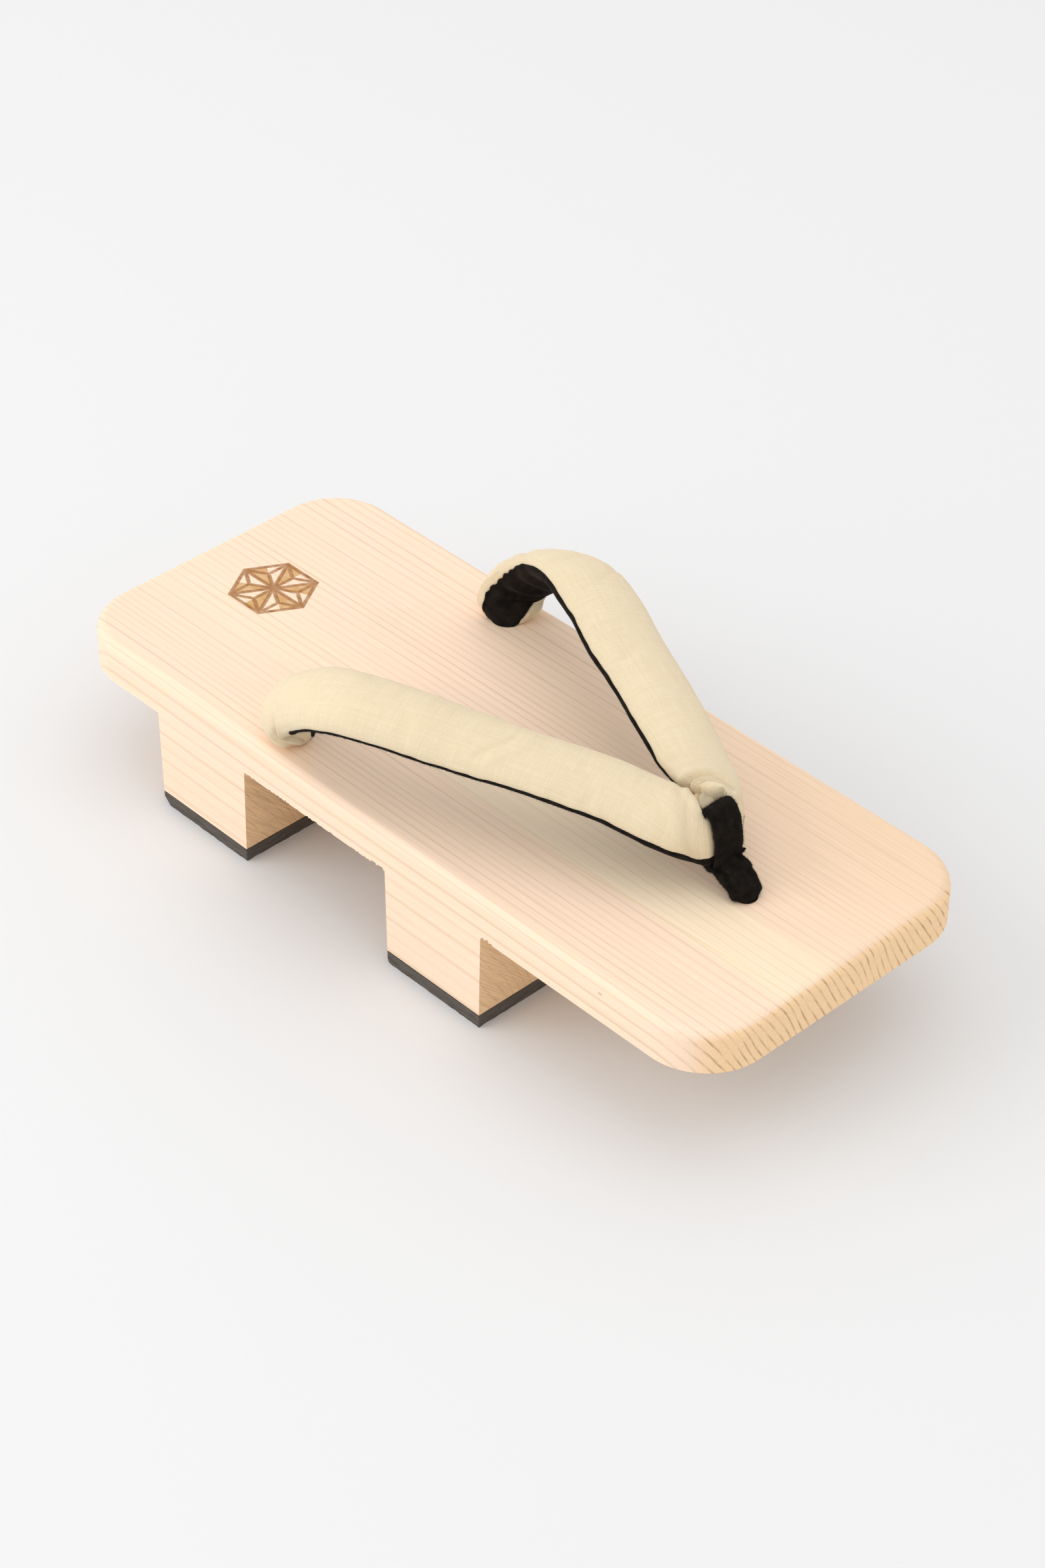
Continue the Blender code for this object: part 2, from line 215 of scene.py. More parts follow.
def remap(tree, value, low, high, to_low=0.0, to_high=1.0, smooth=False):
    """Maps a range of values to another, clamped."""
    kind = "SMOOTHSTEP" if smooth else "LINEAR"
    return node(tree, "ShaderNodeMapRange", {"Value": value, "From Min": low, "From Max": high,
                                             "To Min": to_low, "To Max": to_high},
                interpolation_type=kind).outputs["Result"]


def mix_color(tree, share, first, second, kind="MIX"):
    """Blends two colours by a share."""
    first, second = ((*color, 1) if isinstance(color, tuple) else color for color in (first, second))
    return node(tree, "ShaderNodeMix", {0: share, 6: first, 7: second}, data_type="RGBA",
                blend_type=kind).outputs[2]


def bump(tree, height, depth, strength):
    """A normal that is tilted by a height, whose full range is a depth in metres."""
    values = {"Height": height, "Distance": depth, "Strength": strength}
    return node(tree, "ShaderNodeBump", values).outputs["Normal"]


def new_group(name, inputs, outputs):
    """An empty shader node group. inputs and outputs are names with their kind and default."""
    group = bpy.data.node_groups.new(name, "ShaderNodeTree")
    for socket_name, kind, default in inputs:
        socket = group.interface.new_socket(socket_name, in_out="INPUT", socket_type="NodeSocket" + kind)
        socket.default_value = default
    for socket_name, kind in outputs:
        group.interface.new_socket(socket_name, in_out="OUTPUT", socket_type="NodeSocket" + kind)
    return group, group.nodes.new("NodeGroupInput").outputs, group.nodes.new("NodeGroupOutput")


def use_group(tree, group, place):
    """Places a node group in a tree, fed with a place."""
    return node(tree, "ShaderNodeGroup", {"Place": place}, node_tree=group).outputs


def paint(material, *objects):
    """Gives objects one material."""
    for obj in objects:
        obj.data.materials.clear()
        obj.data.materials.append(material)


material, tree, shader = new_material("table_top")
fill(shader, {"Base Color": FLOOR_COLOR, "Roughness": 0.7})
paint(material, floor)
print("helpers ready")

# %% [markdown]
# ## Board and teeth
# A maker saws the footbed and both teeth from one block, so the grain runs through without a seam. The
# outline could be drawn as a curve and extruded. A block with rounded corners, cut by its side view, is
# nearer to how it is sawn. The saw leaves small bites along the lower edges, which are cut here by a
# scatter of wedges.

# %% Sizes of the board
BOARD_LOW, BOARD_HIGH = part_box("board")
BOARD_TOP = BOARD_HIGH.z
BOARD_SIDE = BOARD_HIGH.x
UNDERSIDE = 31.4 * MM
CORNER_RADIUS = 19 * MM
TOP_EDGE_RADIUS = 3 * MM
HEEL_TOOTH = (-86.5 * MM, -49.7 * MM)
TOE_TOOTH = (7.4 * MM, 44.2 * MM)
TOOTH_TAPER = 0.5 * MM
HEEL_HOLE = Vector((39 * MM, -40.5 * MM, BOARD_TOP))
HEEL_HOLE_DIAMETER = 9.8 * MM
TOE_HOLE = Vector((0, 89.5 * MM, BOARD_TOP))
TOE_HOLE_DIAMETER = 6.2 * MM
KNOT_RECESS_DIAMETER = 16.5 * MM
KNOT_RECESS_DEPTH = 5 * MM
SHARP = math.radians(35)


# %% Cutting helpers
def block(low, high):
    """A box between two corners, as a bmesh."""
    builder = bmesh.new()
    bmesh.ops.create_cube(builder, size=1)
    bmesh.ops.scale(builder, vec=Vector(high) - Vector(low), verts=builder.verts)
    bmesh.ops.translate(builder, vec=(Vector(high) + Vector(low)) / 2, verts=builder.verts)
    return builder


def from_mesh(*meshes):
    """A bmesh that holds the given meshes."""
    builder = bmesh.new()
    for mesh in meshes:
        builder.from_mesh(mesh)
    return builder


def to_mesh(builder, mesh=None):
    """Writes a bmesh to a mesh, its normals facing out, and closes it."""
    bmesh.ops.recalc_face_normals(builder, faces=builder.faces)
    mesh = mesh or bpy.data.meshes.new("mesh")
    builder.to_mesh(mesh)
    builder.free()
    return mesh


def round_edges(builder, edges, radius, steps):
    """Rounds chosen edges of a bmesh."""
    bmesh.ops.bevel(builder, geom=edges, offset=radius, segments=steps, profile=0.5, affect="EDGES")


def apply_modifiers(obj):
    """Replaces an object's mesh by what its modifiers make of it."""
    graph = bpy.context.evaluated_depsgraph_get()
    made = bpy.data.meshes.new_from_object(obj.evaluated_get(graph))
    obj.modifiers.clear()
    obj.data = made


def cut(obj, cutter, operation="DIFFERENCE", crossing=False):
    """Cuts an object with another, which then goes. crossing is for a cutter that crosses itself."""
    modifier = obj.modifiers.new("cut", "BOOLEAN")
    modifier.operation = operation
    modifier.solver = "EXACT"
    modifier.object = cutter
    modifier.use_self = crossing
    apply_modifiers(obj)
    bpy.data.objects.remove(cutter)


def drill(center, diameter, low, high):
    """A round cutter."""
    builder = bmesh.new()
    bmesh.ops.create_cone(builder, cap_ends=True, segments=48, radius1=diameter / 2, radius2=diameter / 2,
                          depth=high - low)
    bmesh.ops.translate(builder, vec=(center.x, center.y, (low + high) / 2), verts=builder.verts)
    return new_object("drill", to_mesh(builder))


# %% The block, its side view and its holes
margin = 4 * MM
builder = block(BOARD_LOW - Vector((0, 0, margin / 2)), BOARD_HIGH)
upright = [edge for edge in builder.edges if abs(edge.verts[0].co.z - edge.verts[1].co.z) > MM]
round_edges(builder, upright, CORNER_RADIUS, 20)
rim = [edge for edge in builder.edges if all(vert.co.z > BOARD_TOP - MM / 10 for vert in edge.verts)]
round_edges(builder, rim, TOP_EDGE_RADIUS, 7)
wood = new_object("wooden_board", to_mesh(builder))

side_view = [(BOARD_HIGH.y + margin, BOARD_TOP + margin), (BOARD_LOW.y - margin, BOARD_TOP + margin),
             (BOARD_LOW.y - margin, UNDERSIDE)]
for start, end in (HEEL_TOOTH, TOE_TOOTH):
    side_view += [(start, UNDERSIDE), (start + TOOTH_TAPER, BOARD_LOW.z),
                  (end - TOOTH_TAPER, BOARD_LOW.z), (end, UNDERSIDE)]
side_view.append((BOARD_HIGH.y + margin, UNDERSIDE))
builder = bmesh.new()
face = builder.faces.new([builder.verts.new((BOARD_LOW.x - margin, y, z)) for y, z in side_view])
swept = bmesh.ops.extrude_face_region(builder, geom=[face])
bmesh.ops.translate(builder, vec=(2 * (BOARD_SIDE + margin), 0, 0),
                    verts=[item for item in swept["geom"] if isinstance(item, bmesh.types.BMVert)])
cut(wood, new_object("side_view", to_mesh(builder)), "INTERSECT")
for side in (1, -1):
    place = Vector((side * HEEL_HOLE.x, HEEL_HOLE.y, 0))
    cut(wood, drill(place, HEEL_HOLE_DIAMETER, UNDERSIDE - margin, BOARD_TOP + margin))
cut(wood, drill(TOE_HOLE, TOE_HOLE_DIAMETER, UNDERSIDE - margin, BOARD_TOP + margin))
cut(wood, drill(TOE_HOLE, KNOT_RECESS_DIAMETER, UNDERSIDE - margin, UNDERSIDE + KNOT_RECESS_DEPTH))

# %% Small bites of the saw along the lower edges
BITE_COUNT = 38
BITE_SIZE = 0.8 * MM
# Larger bites, in a group of three on each side of the toe tooth: how far from its faces, in mm
BITES_BEHIND = (1.2, 2.6, 4.4)
BITES_AHEAD = (0.9, 2.2, 3.8)
BITE_GROUP = 5 * MM
chance = np.random.default_rng(7)
builder = bmesh.new()
places = list(chance.uniform(HEEL_TOOTH[1] + 2 * MM, TOE_TOOTH[0] - MM, BITE_COUNT))
places += [TOE_TOOTH[0] - far * MM for far in BITES_BEHIND]
places += [TOE_TOOTH[1] + far * MM for far in BITES_AHEAD]
for y in sorted(places):
    for side in (1, -1):
        size = BITE_SIZE * chance.uniform(0.25, 0.6)
        if min(abs(y - TOE_TOOTH[0]), abs(y - TOE_TOOTH[1])) < BITE_GROUP:
            size = BITE_SIZE * chance.uniform(0.8, 1.3)
        turn = Matrix.Rotation(chance.uniform(0.5, 1.1), 4, "Y")
        turn = turn @ Matrix.Rotation(chance.uniform(0, 1), 4, "Z")
        place = Matrix.Translation((side * BOARD_SIDE, y, UNDERSIDE))
        stretch = Matrix.Diagonal((size, size * chance.uniform(1, 2.4), size, 1))
        bmesh.ops.create_cube(builder, size=1, matrix=place @ turn @ stretch)
cut(wood, new_object("bites", to_mesh(builder)), crossing=True)

# %% Soften the sharp edges and smooth the rounded ones
EDGE_SOFTNESS = 0.25 * MM
soften = wood.modifiers.new("soften", "BEVEL")
soften.width = EDGE_SOFTNESS
soften.segments = 2
soften.limit_method = "ANGLE"
soften.angle_limit = SHARP
soften.use_clamp_overlap = True


def smooth(mesh, angle=SHARP):
    """Shades a mesh smooth, but for its sharp edges."""
    mesh.polygons.foreach_set("use_smooth", np.ones(len(mesh.polygons), bool))
    mesh.set_sharp_from_angle(angle=angle)


apply_modifiers(wood)
smooth(wood.data)
weighted = wood.modifiers.new("flat_faces", "WEIGHTED_NORMAL")
weighted.keep_sharp = True
apply_modifiers(wood)
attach(wood, "root")
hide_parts("board")
print("board:", len(wood.data.polygons), "faces")

# %% [markdown]
# ## Softwood
# The wood is one block, so its rings are worked out in space and cut by every face: thin lines along the
# top and sides, slanting lines on the ends. Each ring darkens slowly to its late wood and stops sharply.
# A picture of wood could be wrapped on, but it would not meet itself at the edges as this does.

# %% Growth rings as a node group
RING_WIDTH = 2.5 * MM
RING_SLANT = 0.57
# Noises that move the rings: stretch along x, y and z, detail, and reach
RING_WANDER = (
    ((20, 2.6, 20), 2.0, 7.5 * MM),
    ((110, 5, 120), 2.0, 0.8 * MM),
    ((42, 0.6, 14), 1.0, 9.0 * MM),
)


def make_ring_group():
    """Rings of a sawn block: how late the wood is, its fine fibres, and the place across the rings."""
    group, given, result = new_group(
        "growth_rings",
        [("Place", "Vector", (0, 0, 0)), ("Ring Width", "Float", RING_WIDTH),
         ("Slant", "Float", RING_SLANT)],
        [("Late", "Float"), ("Fibre", "Float"), ("Across", "Float")])
    place = given["Place"]
    split = split_xyz(group, place)
    across = moved = maths(group, "SUBTRACT", split["X"], times(group, split["Z"], given["Slant"]))
    for stretch, detail, reach in RING_WANDER:
        wander = scaled_noise(group, place, 1.0, stretch, detail)
        moved = maths(group, "MULTIPLY_ADD", maths(group, "SUBTRACT", wander, 0.5), reach, moved)
    ring = maths(group, "FRACT", maths(group, "DIVIDE", moved, given["Ring Width"]))
    rise = remap(group, ring, 0.40, 0.90, smooth=True)
    fall = remap(group, ring, 0.90, 1.0, 1.0, 0.0, smooth=True)
    late = times(group, maths(group, "POWER", rise, 4.0), fall)
    vary = scaled_noise(group, place, 1.0, (260, 1.5, 160), 2.0)
    late = times(group, late, remap(group, vary, 0.35, 0.65, 0.15, 1.0))
    fibre = scaled_noise(group, place, 1.0, (2600, 26, 2600), 3.0, 0.6)
    fill(result, {"Late": late, "Fibre": fibre, "Across": across})
    return group


RING_GROUP = make_ring_group()

# %% [markdown]
# ## The burned mark at the heel
# Such sandals often carry a mark burned in at the heel. This one has an old hemp leaf star, which many
# makers use: six leaves, each folded along its rib, inside a hexagon. It could be cut as thin geometry,
# but a burn is only colour and a faint hollow, so it is drawn by arithmetic in the wood's own material.

# %% The hemp leaf star as a node group
STAR_CENTER = Vector((0, -96 * MM, 0))
STAR_RADIUS = 12.5 * MM
STAR_LINE = 0.60 * MM


def make_star_group():
    """A hemp leaf star about the middle of its input: its burned lines, and every other half leaf."""
    group, given, result = new_group(
        "hemp_leaf_star",
        [("Place", "Vector", (0, 0, 0)), ("Radius", "Float", STAR_RADIUS), ("Line", "Float", STAR_LINE)],
        [("Burn", "Float"), ("Fill", "Float")])
    split = split_xyz(group, given["Place"])
    flat = node(group, "ShaderNodeCombineXYZ", {"X": split["X"], "Y": split["Y"]}).outputs[0]
    far = vector_maths(group, "LENGTH", flat, output="Value")
    angle = maths(group, "ARCTAN2", split["Y"], split["X"])
    sixth = math.pi / 3
    turned = maths(group, "PINGPONG", maths(group, "ADD", angle, 2 * math.pi), sixth / 2)
    along = times(group, far, maths(group, "COSINE", turned))
    beside = times(group, far, maths(group, "SINE", turned))
    height = times(group, given["Radius"], math.cos(sixth / 2))
    outline = maths(group, "ABSOLUTE", maths(group, "SUBTRACT", along, height))
    spoke = maths(group, "SUBTRACT", times(group, beside, math.cos(sixth / 2)),
                  times(group, along, math.sin(sixth / 2)))
    spoke = maths(group, "ABSOLUTE", spoke)
    past = maths(group, "SUBTRACT", along, times(group, height, 2 / 3))
    fold_slope = 3 * math.tan(sixth / 2)
    fold = maths(group, "SUBTRACT", beside, times(group, past, fold_slope))
    fold = maths(group, "ABSOLUTE", maths(group, "DIVIDE", fold, math.sqrt(1 + fold_slope ** 2)))
    rib_in = maths(group, "ADD", beside, maths(group, "GREATER_THAN", past, 0.0))
    fold_out = maths(group, "ADD", fold, maths(group, "LESS_THAN", past, 0.0))
    nearest = maths(group, "MINIMUM", maths(group, "MINIMUM", outline, spoke),
                    maths(group, "MINIMUM", rib_in, fold_out))
    edge = maths(group, "DIVIDE", nearest, given["Line"])
    on_line = remap(group, edge, 0.75, 1.25, 1.0, 0.0, smooth=True)
    inside = maths(group, "LESS_THAN", along, maths(group, "ADD", height, given["Line"]))
    every_other = maths(group, "GREATER_THAN", maths(group, "SINE", times(group, angle, 6.0)), 0.0)
    within = remap(group, maths(group, "SUBTRACT", height, along), 0.0, 0.3 * MM)
    fill(result, {"Burn": times(group, on_line, inside), "Fill": times(group, every_other, within)})
    return group


STAR_GROUP = make_star_group()

# %% Bare wood
EARLY_TOP = (0.965, 0.730, 0.545)
LATE_TOP = (0.800, 0.585, 0.405)
# Early end grain: its own tone, made more orange as painted warm bounce light
EARLY_END_WITH_PAINTED_BOUNCE = (0.975, 0.680, 0.395)
LATE_END = (0.460, 0.260, 0.135)
STREAK = (0.940, 0.790, 0.565)
RESIN = (0.820, 0.600, 0.270)
# Painted shade for the far side towards the toe, where the strap and a second sandal shade the wood
FAR_SIDE_PAINTED_SHADE = (0.850, 0.615, 0.405)
CLOUDY = (0.930, 0.700, 0.530)
PORES = (0.460, 0.290, 0.170)
PIN_KNOT = (0.450, 0.250, 0.120)
BURNED = (0.340, 0.135, 0.028)
SCORCHED = (0.600, 0.325, 0.100)
# A broad pale streak, from and to these places across the rings
STREAK_ACROSS = (-19 * MM, -4.5 * MM)
# A thin resin line on the top: where it passes, its slope and its half width
RESIN_LINE = ((22.7 * MM, 65.7 * MM), -0.0575, 0.22 * MM)
KNOT_PLACE = (50.6 * MM, 87.9 * MM, 40.5 * MM)
KNOT_SIZE = 0.5 * MM
# The sawn faces of the teeth: how much of the rings shows, and how far the saw's fine lines slope
TOOTH_RINGS = 0.35
SAW_SLOPE = math.radians(45)


def resin_line(tree, where):
    """A share for the thin resin line, over the top's plan."""
    (start_x, start_y), slope, half_width = RESIN_LINE
    middle = maths(tree, "MULTIPLY_ADD", where["Y"], slope, start_x - slope * start_y)
    far = maths(tree, "ABSOLUTE", maths(tree, "SUBTRACT", where["X"], middle))
    line = remap(tree, far, 0.3 * half_width, half_width, 0.6, 0.0, smooth=True)
    faded = times(tree, line, remap(tree, where["Y"], 10 * MM, 60 * MM))
    return times(tree, faded, remap(tree, where["Z"], BOARD_TOP - 4 * MM, BOARD_TOP - 2 * MM))


def long_grain(tree, place, where, rings):
    """The colour of the top and the sides, with painted shade towards the far side and the toe."""
    color = mix_color(tree, rings["Late"], EARLY_TOP, LATE_TOP)
    cloudy = remap(tree, scaled_noise(tree, place, 1.0, (26, 5, 26), 2.0), 0.3, 0.7)
    color = mix_color(tree, times(tree, cloudy, 0.22), color, CLOUDY)
    low, high = STREAK_ACROSS
    streak = times(tree, remap(tree, rings["Across"], low - 4 * MM, low, smooth=True),
                   remap(tree, rings["Across"], high, high + 4 * MM, 1.0, 0.0, smooth=True))
    streak = times(tree, streak, remap(tree, where["Y"], -60 * MM, 60 * MM, 0.25, 0.7, smooth=True))
    color = mix_color(tree, streak, color, STREAK)
    color = mix_color(tree, times(tree, rings["Late"], 0.4), color, LATE_TOP)
    # Painted shade: a darker, warmer tone towards the far side and the toe
    far_side_shade = times(tree, remap(tree, where["X"], 20 * MM, -45 * MM),
                 remap(tree, where["Y"], -10 * MM, 95 * MM))
    color = mix_color(tree, times(tree, far_side_shade, 0.7), color, FAR_SIDE_PAINTED_SHADE)
    return mix_color(tree, resin_line(tree, where), color, RESIN)


def end_grain(tree, place, where, rings, end):
    """The colour of the ends, and of the teeth's sawn faces with their fine lines. Their early wood is the
    end grain's own tone, made more orange as painted warm bounce light.
    """
    tooth = times(tree, remap(tree, where["Z"], UNDERSIDE, UNDERSIDE - 1 * MM), end)
    shown = remap(tree, tooth, 0.0, 1.0, 1.0, TOOTH_RINGS)
    late = times(tree, maths(tree, "POWER", rings["Late"], 1.1), shown)
    # The end grain's early wood carries painted warm bounce light
    color = mix_color(tree, late, EARLY_END_WITH_PAINTED_BOUNCE, LATE_END)
    blade = node(tree, "ShaderNodeMapping", {"Vector": place, "Rotation": (0, SAW_SLOPE, 0)}).outputs[0]
    blade = scaled_noise(tree, blade, 1.0, (90, 90, 2600), 2.0)
    blade = times(tree, remap(tree, blade, 0.35, 0.65), tooth)
    color = mix_color(tree, times(tree, blade, 0.35), color, LATE_END)
    pores = scaled_noise(tree, place, 1.0, (2400, 300, 2400), 2.0)
    return mix_color(tree, remap(tree, pores, 0.45, 0.75, 0.0, 0.16), color, PORES)


def pin_knot(tree, place):
    """A share for the one small knot on the right side."""
    far = vector_maths(tree, "MULTIPLY", vector_maths(tree, "SUBTRACT", place, KNOT_PLACE), (1, 0.5, 1))
    far = vector_maths(tree, "LENGTH", far, output="Value")
    return times(tree, remap(tree, far, KNOT_SIZE * 0.4, KNOT_SIZE, 1.0, 0.0, smooth=True), 0.6)


def star_shares(tree, place, where, facing):
    """Shares for the star's burned lines and its scorched leaves, on the top alone."""
    star = use_group(tree, STAR_GROUP, vector_maths(tree, "SUBTRACT", place, STAR_CENTER))
    patchy = remap(tree, scaled_noise(tree, place, 1.0, (700, 260, 700), 3.0), 0.3, 0.7, 0.65, 1.0)
    on_top = times(tree, remap(tree, facing["Z"], 0.9, 0.97),
                   remap(tree, where["Z"], UNDERSIDE + 8 * MM, UNDERSIDE + 9 * MM))
    patchy = times(tree, patchy, on_top)
    return times(tree, star["Burn"], patchy), times(tree, star["Fill"], patchy)


def make_wood():
    """Softwood, planed on top and sawn elsewhere."""
    material, tree, shader = new_material("softwood")
    place = object_place(tree)
    where = split_xyz(tree, place)
    rings = use_group(tree, RING_GROUP, place)
    normal = node(tree, "ShaderNodeNewGeometry").outputs["Normal"]
    facing = split_xyz(tree, vector_maths(tree, "ABSOLUTE", normal))
    end = remap(tree, facing["Y"], 0.45, 0.85, smooth=True)
    sawn = remap(tree, facing["Z"], 0.9, 0.6, smooth=True)

    along = long_grain(tree, place, where, rings)
    color = mix_color(tree, end, along, end_grain(tree, place, where, rings, end))
    fibre = remap(tree, rings["Fibre"], 0.3, 0.7, 0.93, 1.04)
    shade = node(tree, "ShaderNodeCombineXYZ", {"X": fibre, "Y": fibre, "Z": fibre}).outputs[0]
    color = mix_color(tree, 1.0, color, shade, "MULTIPLY")
    color = mix_color(tree, pin_knot(tree, place), color, PIN_KNOT)
    burned, scorched = star_shares(tree, place, where, facing)
    color = mix_color(tree, scorched, color, SCORCHED)
    color = mix_color(tree, burned, color, BURNED)

    saw_lines = scaled_noise(tree, place, 1.0, (500, 900, 60), 2.0)
    rough = maths(tree, "MULTIPLY_ADD", rings["Fibre"], 0.12, 0.46)
    rough = maths(tree, "MULTIPLY_ADD", sawn, 0.2, rough)
    relief = maths(tree, "MULTIPLY_ADD", rings["Fibre"], 0.55, times(tree, rings["Late"], 0.35))
    relief = maths(tree, "MULTIPLY_ADD", times(tree, saw_lines, sawn), 1.6, relief)
    relief = maths(tree, "MULTIPLY_ADD", burned, -1.2, relief)
    fill(shader, {"Base Color": color, "Roughness": rough, "Specular IOR Level": 0.38,
                  "Normal": bump(tree, relief, 0.06 * MM, 0.7)})
    return material


paint(make_wood(), wood)
print("softwood ready")

# %% [markdown]
# ## The strap's shape
# The strap is a padded tube that rises from each heel hole, bends forward over the foot and is pinched
# where both arms meet. A curve with a round profile would be quick, but a strap is wide, crowned on top
# and flat below, and it rolls on its way. So rings are laid along each arm from a short table of
# shares, the same one that the exact model uses, and a skin is drawn over them.

# %% Sizes and rows of the strap
STRAP_WIDTH = 22 * MM
STRAP_THICKNESS = 9 * MM
ARCH_HEIGHT = 26 * MM
NOSE_Y = TOE_HOLE.y - 10.3 * MM
STRAP_TUCK = 3 * MM
CROWN_SHARE = 0.57
CLEARANCE = 0.3 * MM
BAND_WIDTH = 9 * MM
RING_SPACING = 0.8 * MM
SKIN_POINTS = 96
# Rings that the skin has inside the band, past the place where both arms meet
NOSE_RINGS = 5

# Along, out, up, wide and thick are shares of the run to the nose, a heel hole's distance from the middle,
# the arch height, and the strap's own width and thickness. Heading and roll turn a section, in degrees.
ARM_ROWS = (
    (0.000, 1.000, 0.018, 0.57, 1.02, 56, 0),
    (-0.004, 1.010, 0.120, 0.74, 1.17, 50, 4),
    (-0.008, 1.060, 0.280, 0.78, 1.18, 40, 16),
    (0.016, 1.110, 0.455, 0.81, 1.13, 30, 26),
    (0.060, 1.130, 0.640, 0.86, 1.10, 22, 27),
    (0.125, 1.125, 0.840, 0.92, 1.05, 17, 21),
    (0.210, 1.080, 0.970, 0.97, 1.00, 17, 12),
    (0.315, 0.965, 0.985, 1.00, 1.00, 21, 8),
    (0.455, 0.780, 0.915, 0.985, 1.00, 23, 7),
    (0.610, 0.580, 0.875, 0.94, 0.95, 23, 6),
    (0.755, 0.390, 0.805, 0.93, 0.95, 22, 8),
    (0.840, 0.280, 0.735, 0.90, 0.98, 21, 13),
    (0.890, 0.232, 0.705, 0.87, 0.98, 25, 22),
    (0.928, 0.187, 0.670, 0.82, 0.96, 33, 38),
    (0.958, 0.150, 0.635, 0.78, 0.88, 46, 56),
    (0.985, 0.136, 0.585, 0.71, 0.66, 70, 74),
    (1.000, 0.122, 0.547, 0.67, 0.40, 90, 83),
    (1.000, 0.000, 0.545, 0.67, 0.40, 90, 83),
)


# %% Sections along one arm


def hermite(knots, values, where):
    """Reads a smooth curve through rows of values at the given places."""
    slopes = np.gradient(values, knots, axis=0)
    right = np.clip(np.searchsorted(knots, where, side="right"), 1, len(knots) - 1)
    left = right - 1
    span = (knots[right] - knots[left])[:, None]
    t = ((where - knots[left]) / (knots[right] - knots[left]))[:, None]
    ease = t * t * (3 - 2 * t)
    leave = t * (1 - t) ** 2 * span * slopes[left]
    arrive = t * t * (t - 1) * span * slopes[right]
    return values[left] * (1 - ease) + values[right] * ease + leave + arrive


def path_length(points):
    """Distance walked along a row of points, at each of them."""
    steps = np.linalg.norm(np.diff(points, axis=0), axis=1)
    return np.concatenate([[0], np.cumsum(steps)])


def arm_sections():
    """The right arm's sections: center, width, thickness, heading and roll. Also the walk from the foot."""
    run = NOSE_Y - HEEL_HOLE.y
    along, out, up, wide, thick, heading, roll = np.array(ARM_ROWS).T
    values = np.column_stack([
        out * HEEL_HOLE.x, HEEL_HOLE.y + along * run, BOARD_TOP + up * ARCH_HEIGHT,
        wide * STRAP_WIDTH, thick * STRAP_THICKNESS, np.radians(heading), np.radians(roll)])
    knots = path_length(values[:, :3])
    count = round(knots[-2] / RING_SPACING)
    past_nose = np.linspace(knots[-2], knots[-1], NOSE_RINGS + 1)[1:]
    where = np.concatenate([np.linspace(0, knots[-2], count), past_nose])
    sections = hermite(knots, values, where)
    sections[where >= knots[-2], 1:] = values[-1, 1:]
    return sections, where


SECTIONS, FOOT_WALK = arm_sections()
ARM_LENGTH = FOOT_WALK[-1 - NOSE_RINGS]
NOSE_WALK = ARM_LENGTH - FOOT_WALK
# 0 in the heel hole and inside the band, and 1 a little way out of them, where the cloth is free
OUT_OF_HOLE = np.clip(FOOT_WALK / (2 * MM), 0, 1)[:, None]
OUT_OF_BAND = np.clip(NOSE_WALK / (1.5 * MM), 0, 1)[:, None]
tangents = np.gradient(SECTIONS[:, :3], axis=0)
tangents[0] = (0, 0, 1)
tangents[-1] = (-1, 0, 0)
HEADING, ROLL = SECTIONS[:, 5], SECTIONS[:, 6]
ACROSS = np.column_stack([np.cos(HEADING) * np.cos(ROLL), np.sin(HEADING) * np.cos(ROLL), -np.sin(ROLL)])
CROWN = np.cross(ACROSS, tangents)
CROWN /= np.linalg.norm(CROWN, axis=1)[:, None]


def relax(rows, passes=14):
    """Evens out rows of values near the nose, by repeated averaging with their neighbours."""
    rows = rows.copy()
    loose = (NOSE_WALK > 1.0 * MM) & (NOSE_WALK < 24 * MM)
    for _ in range(passes):
        near = (rows[:-2] + 2 * rows[1:-1] + rows[2:]) / 4
        rows[1:-1][loose[1:-1]] = near[loose[1:-1]]
    return rows


SECTIONS, ACROSS, CROWN = relax(SECTIONS), relax(ACROSS), relax(CROWN)


def nearest_to_middle(y):
    """How near the middle plane an arm may come: they press on each other, then on the band's sides."""
    return np.interp(y, (NOSE_Y - 5.2 * MM, NOSE_Y - 3.9 * MM), (CLEARANCE / 2, BAND_WIDTH / 2))


def skin(turns, swell, press=True):
    """Points of a skin round the right arm: rows along it, columns at the given turns, lifted by swell."""
    turns = np.broadcast_to(turns, swell.shape)
    share = np.where(np.sin(turns) > 0, CROWN_SHARE, 1 - CROWN_SHARE)
    half = SECTIONS[:, 3:4] / 2
    rise = SECTIONS[:, 4:5] * share
    lean = np.stack([np.cos(turns) / half, np.sin(turns) / rise])
    lean /= np.linalg.norm(lean, axis=0)
    sideways = np.cos(turns) * half + lean[0] * swell
    upward = np.sin(turns) * rise + lean[1] * swell
    points = SECTIONS[:, None, :3] + sideways[..., None] * ACROSS[:, None]
    points = points + upward[..., None] * CROWN[:, None]
    if press:
        free = np.arange(len(points)) < len(points) - NOSE_RINGS
        limit = nearest_to_middle(points[..., 1])
        points[free, :, 0] = np.maximum(points[free, :, 0], limit[free])
        points[-1, :, 0] = 0
    return points


print("strap, mm from foot to nose:", round(ARM_LENGTH / MM, 1))

# %% [markdown]
# ## Folds in the cloth
# Where the band pinches the strap, the cloth gathers in a few deep tucks, and where it bends down into
# the holes it puckers. Between them the padding is a little lumpy. Cloth simulation would need a finer
# mesh than the strap is thick, and a remesh would erase its edges, so the folds are given one by one: each
# is a line on the skin with its own depth and width, fading with its distance from the band or the hole.

# %% The folds
LUMP_SIZE = 13 * MM
LUMP_DEPTH = 0.36 * MM

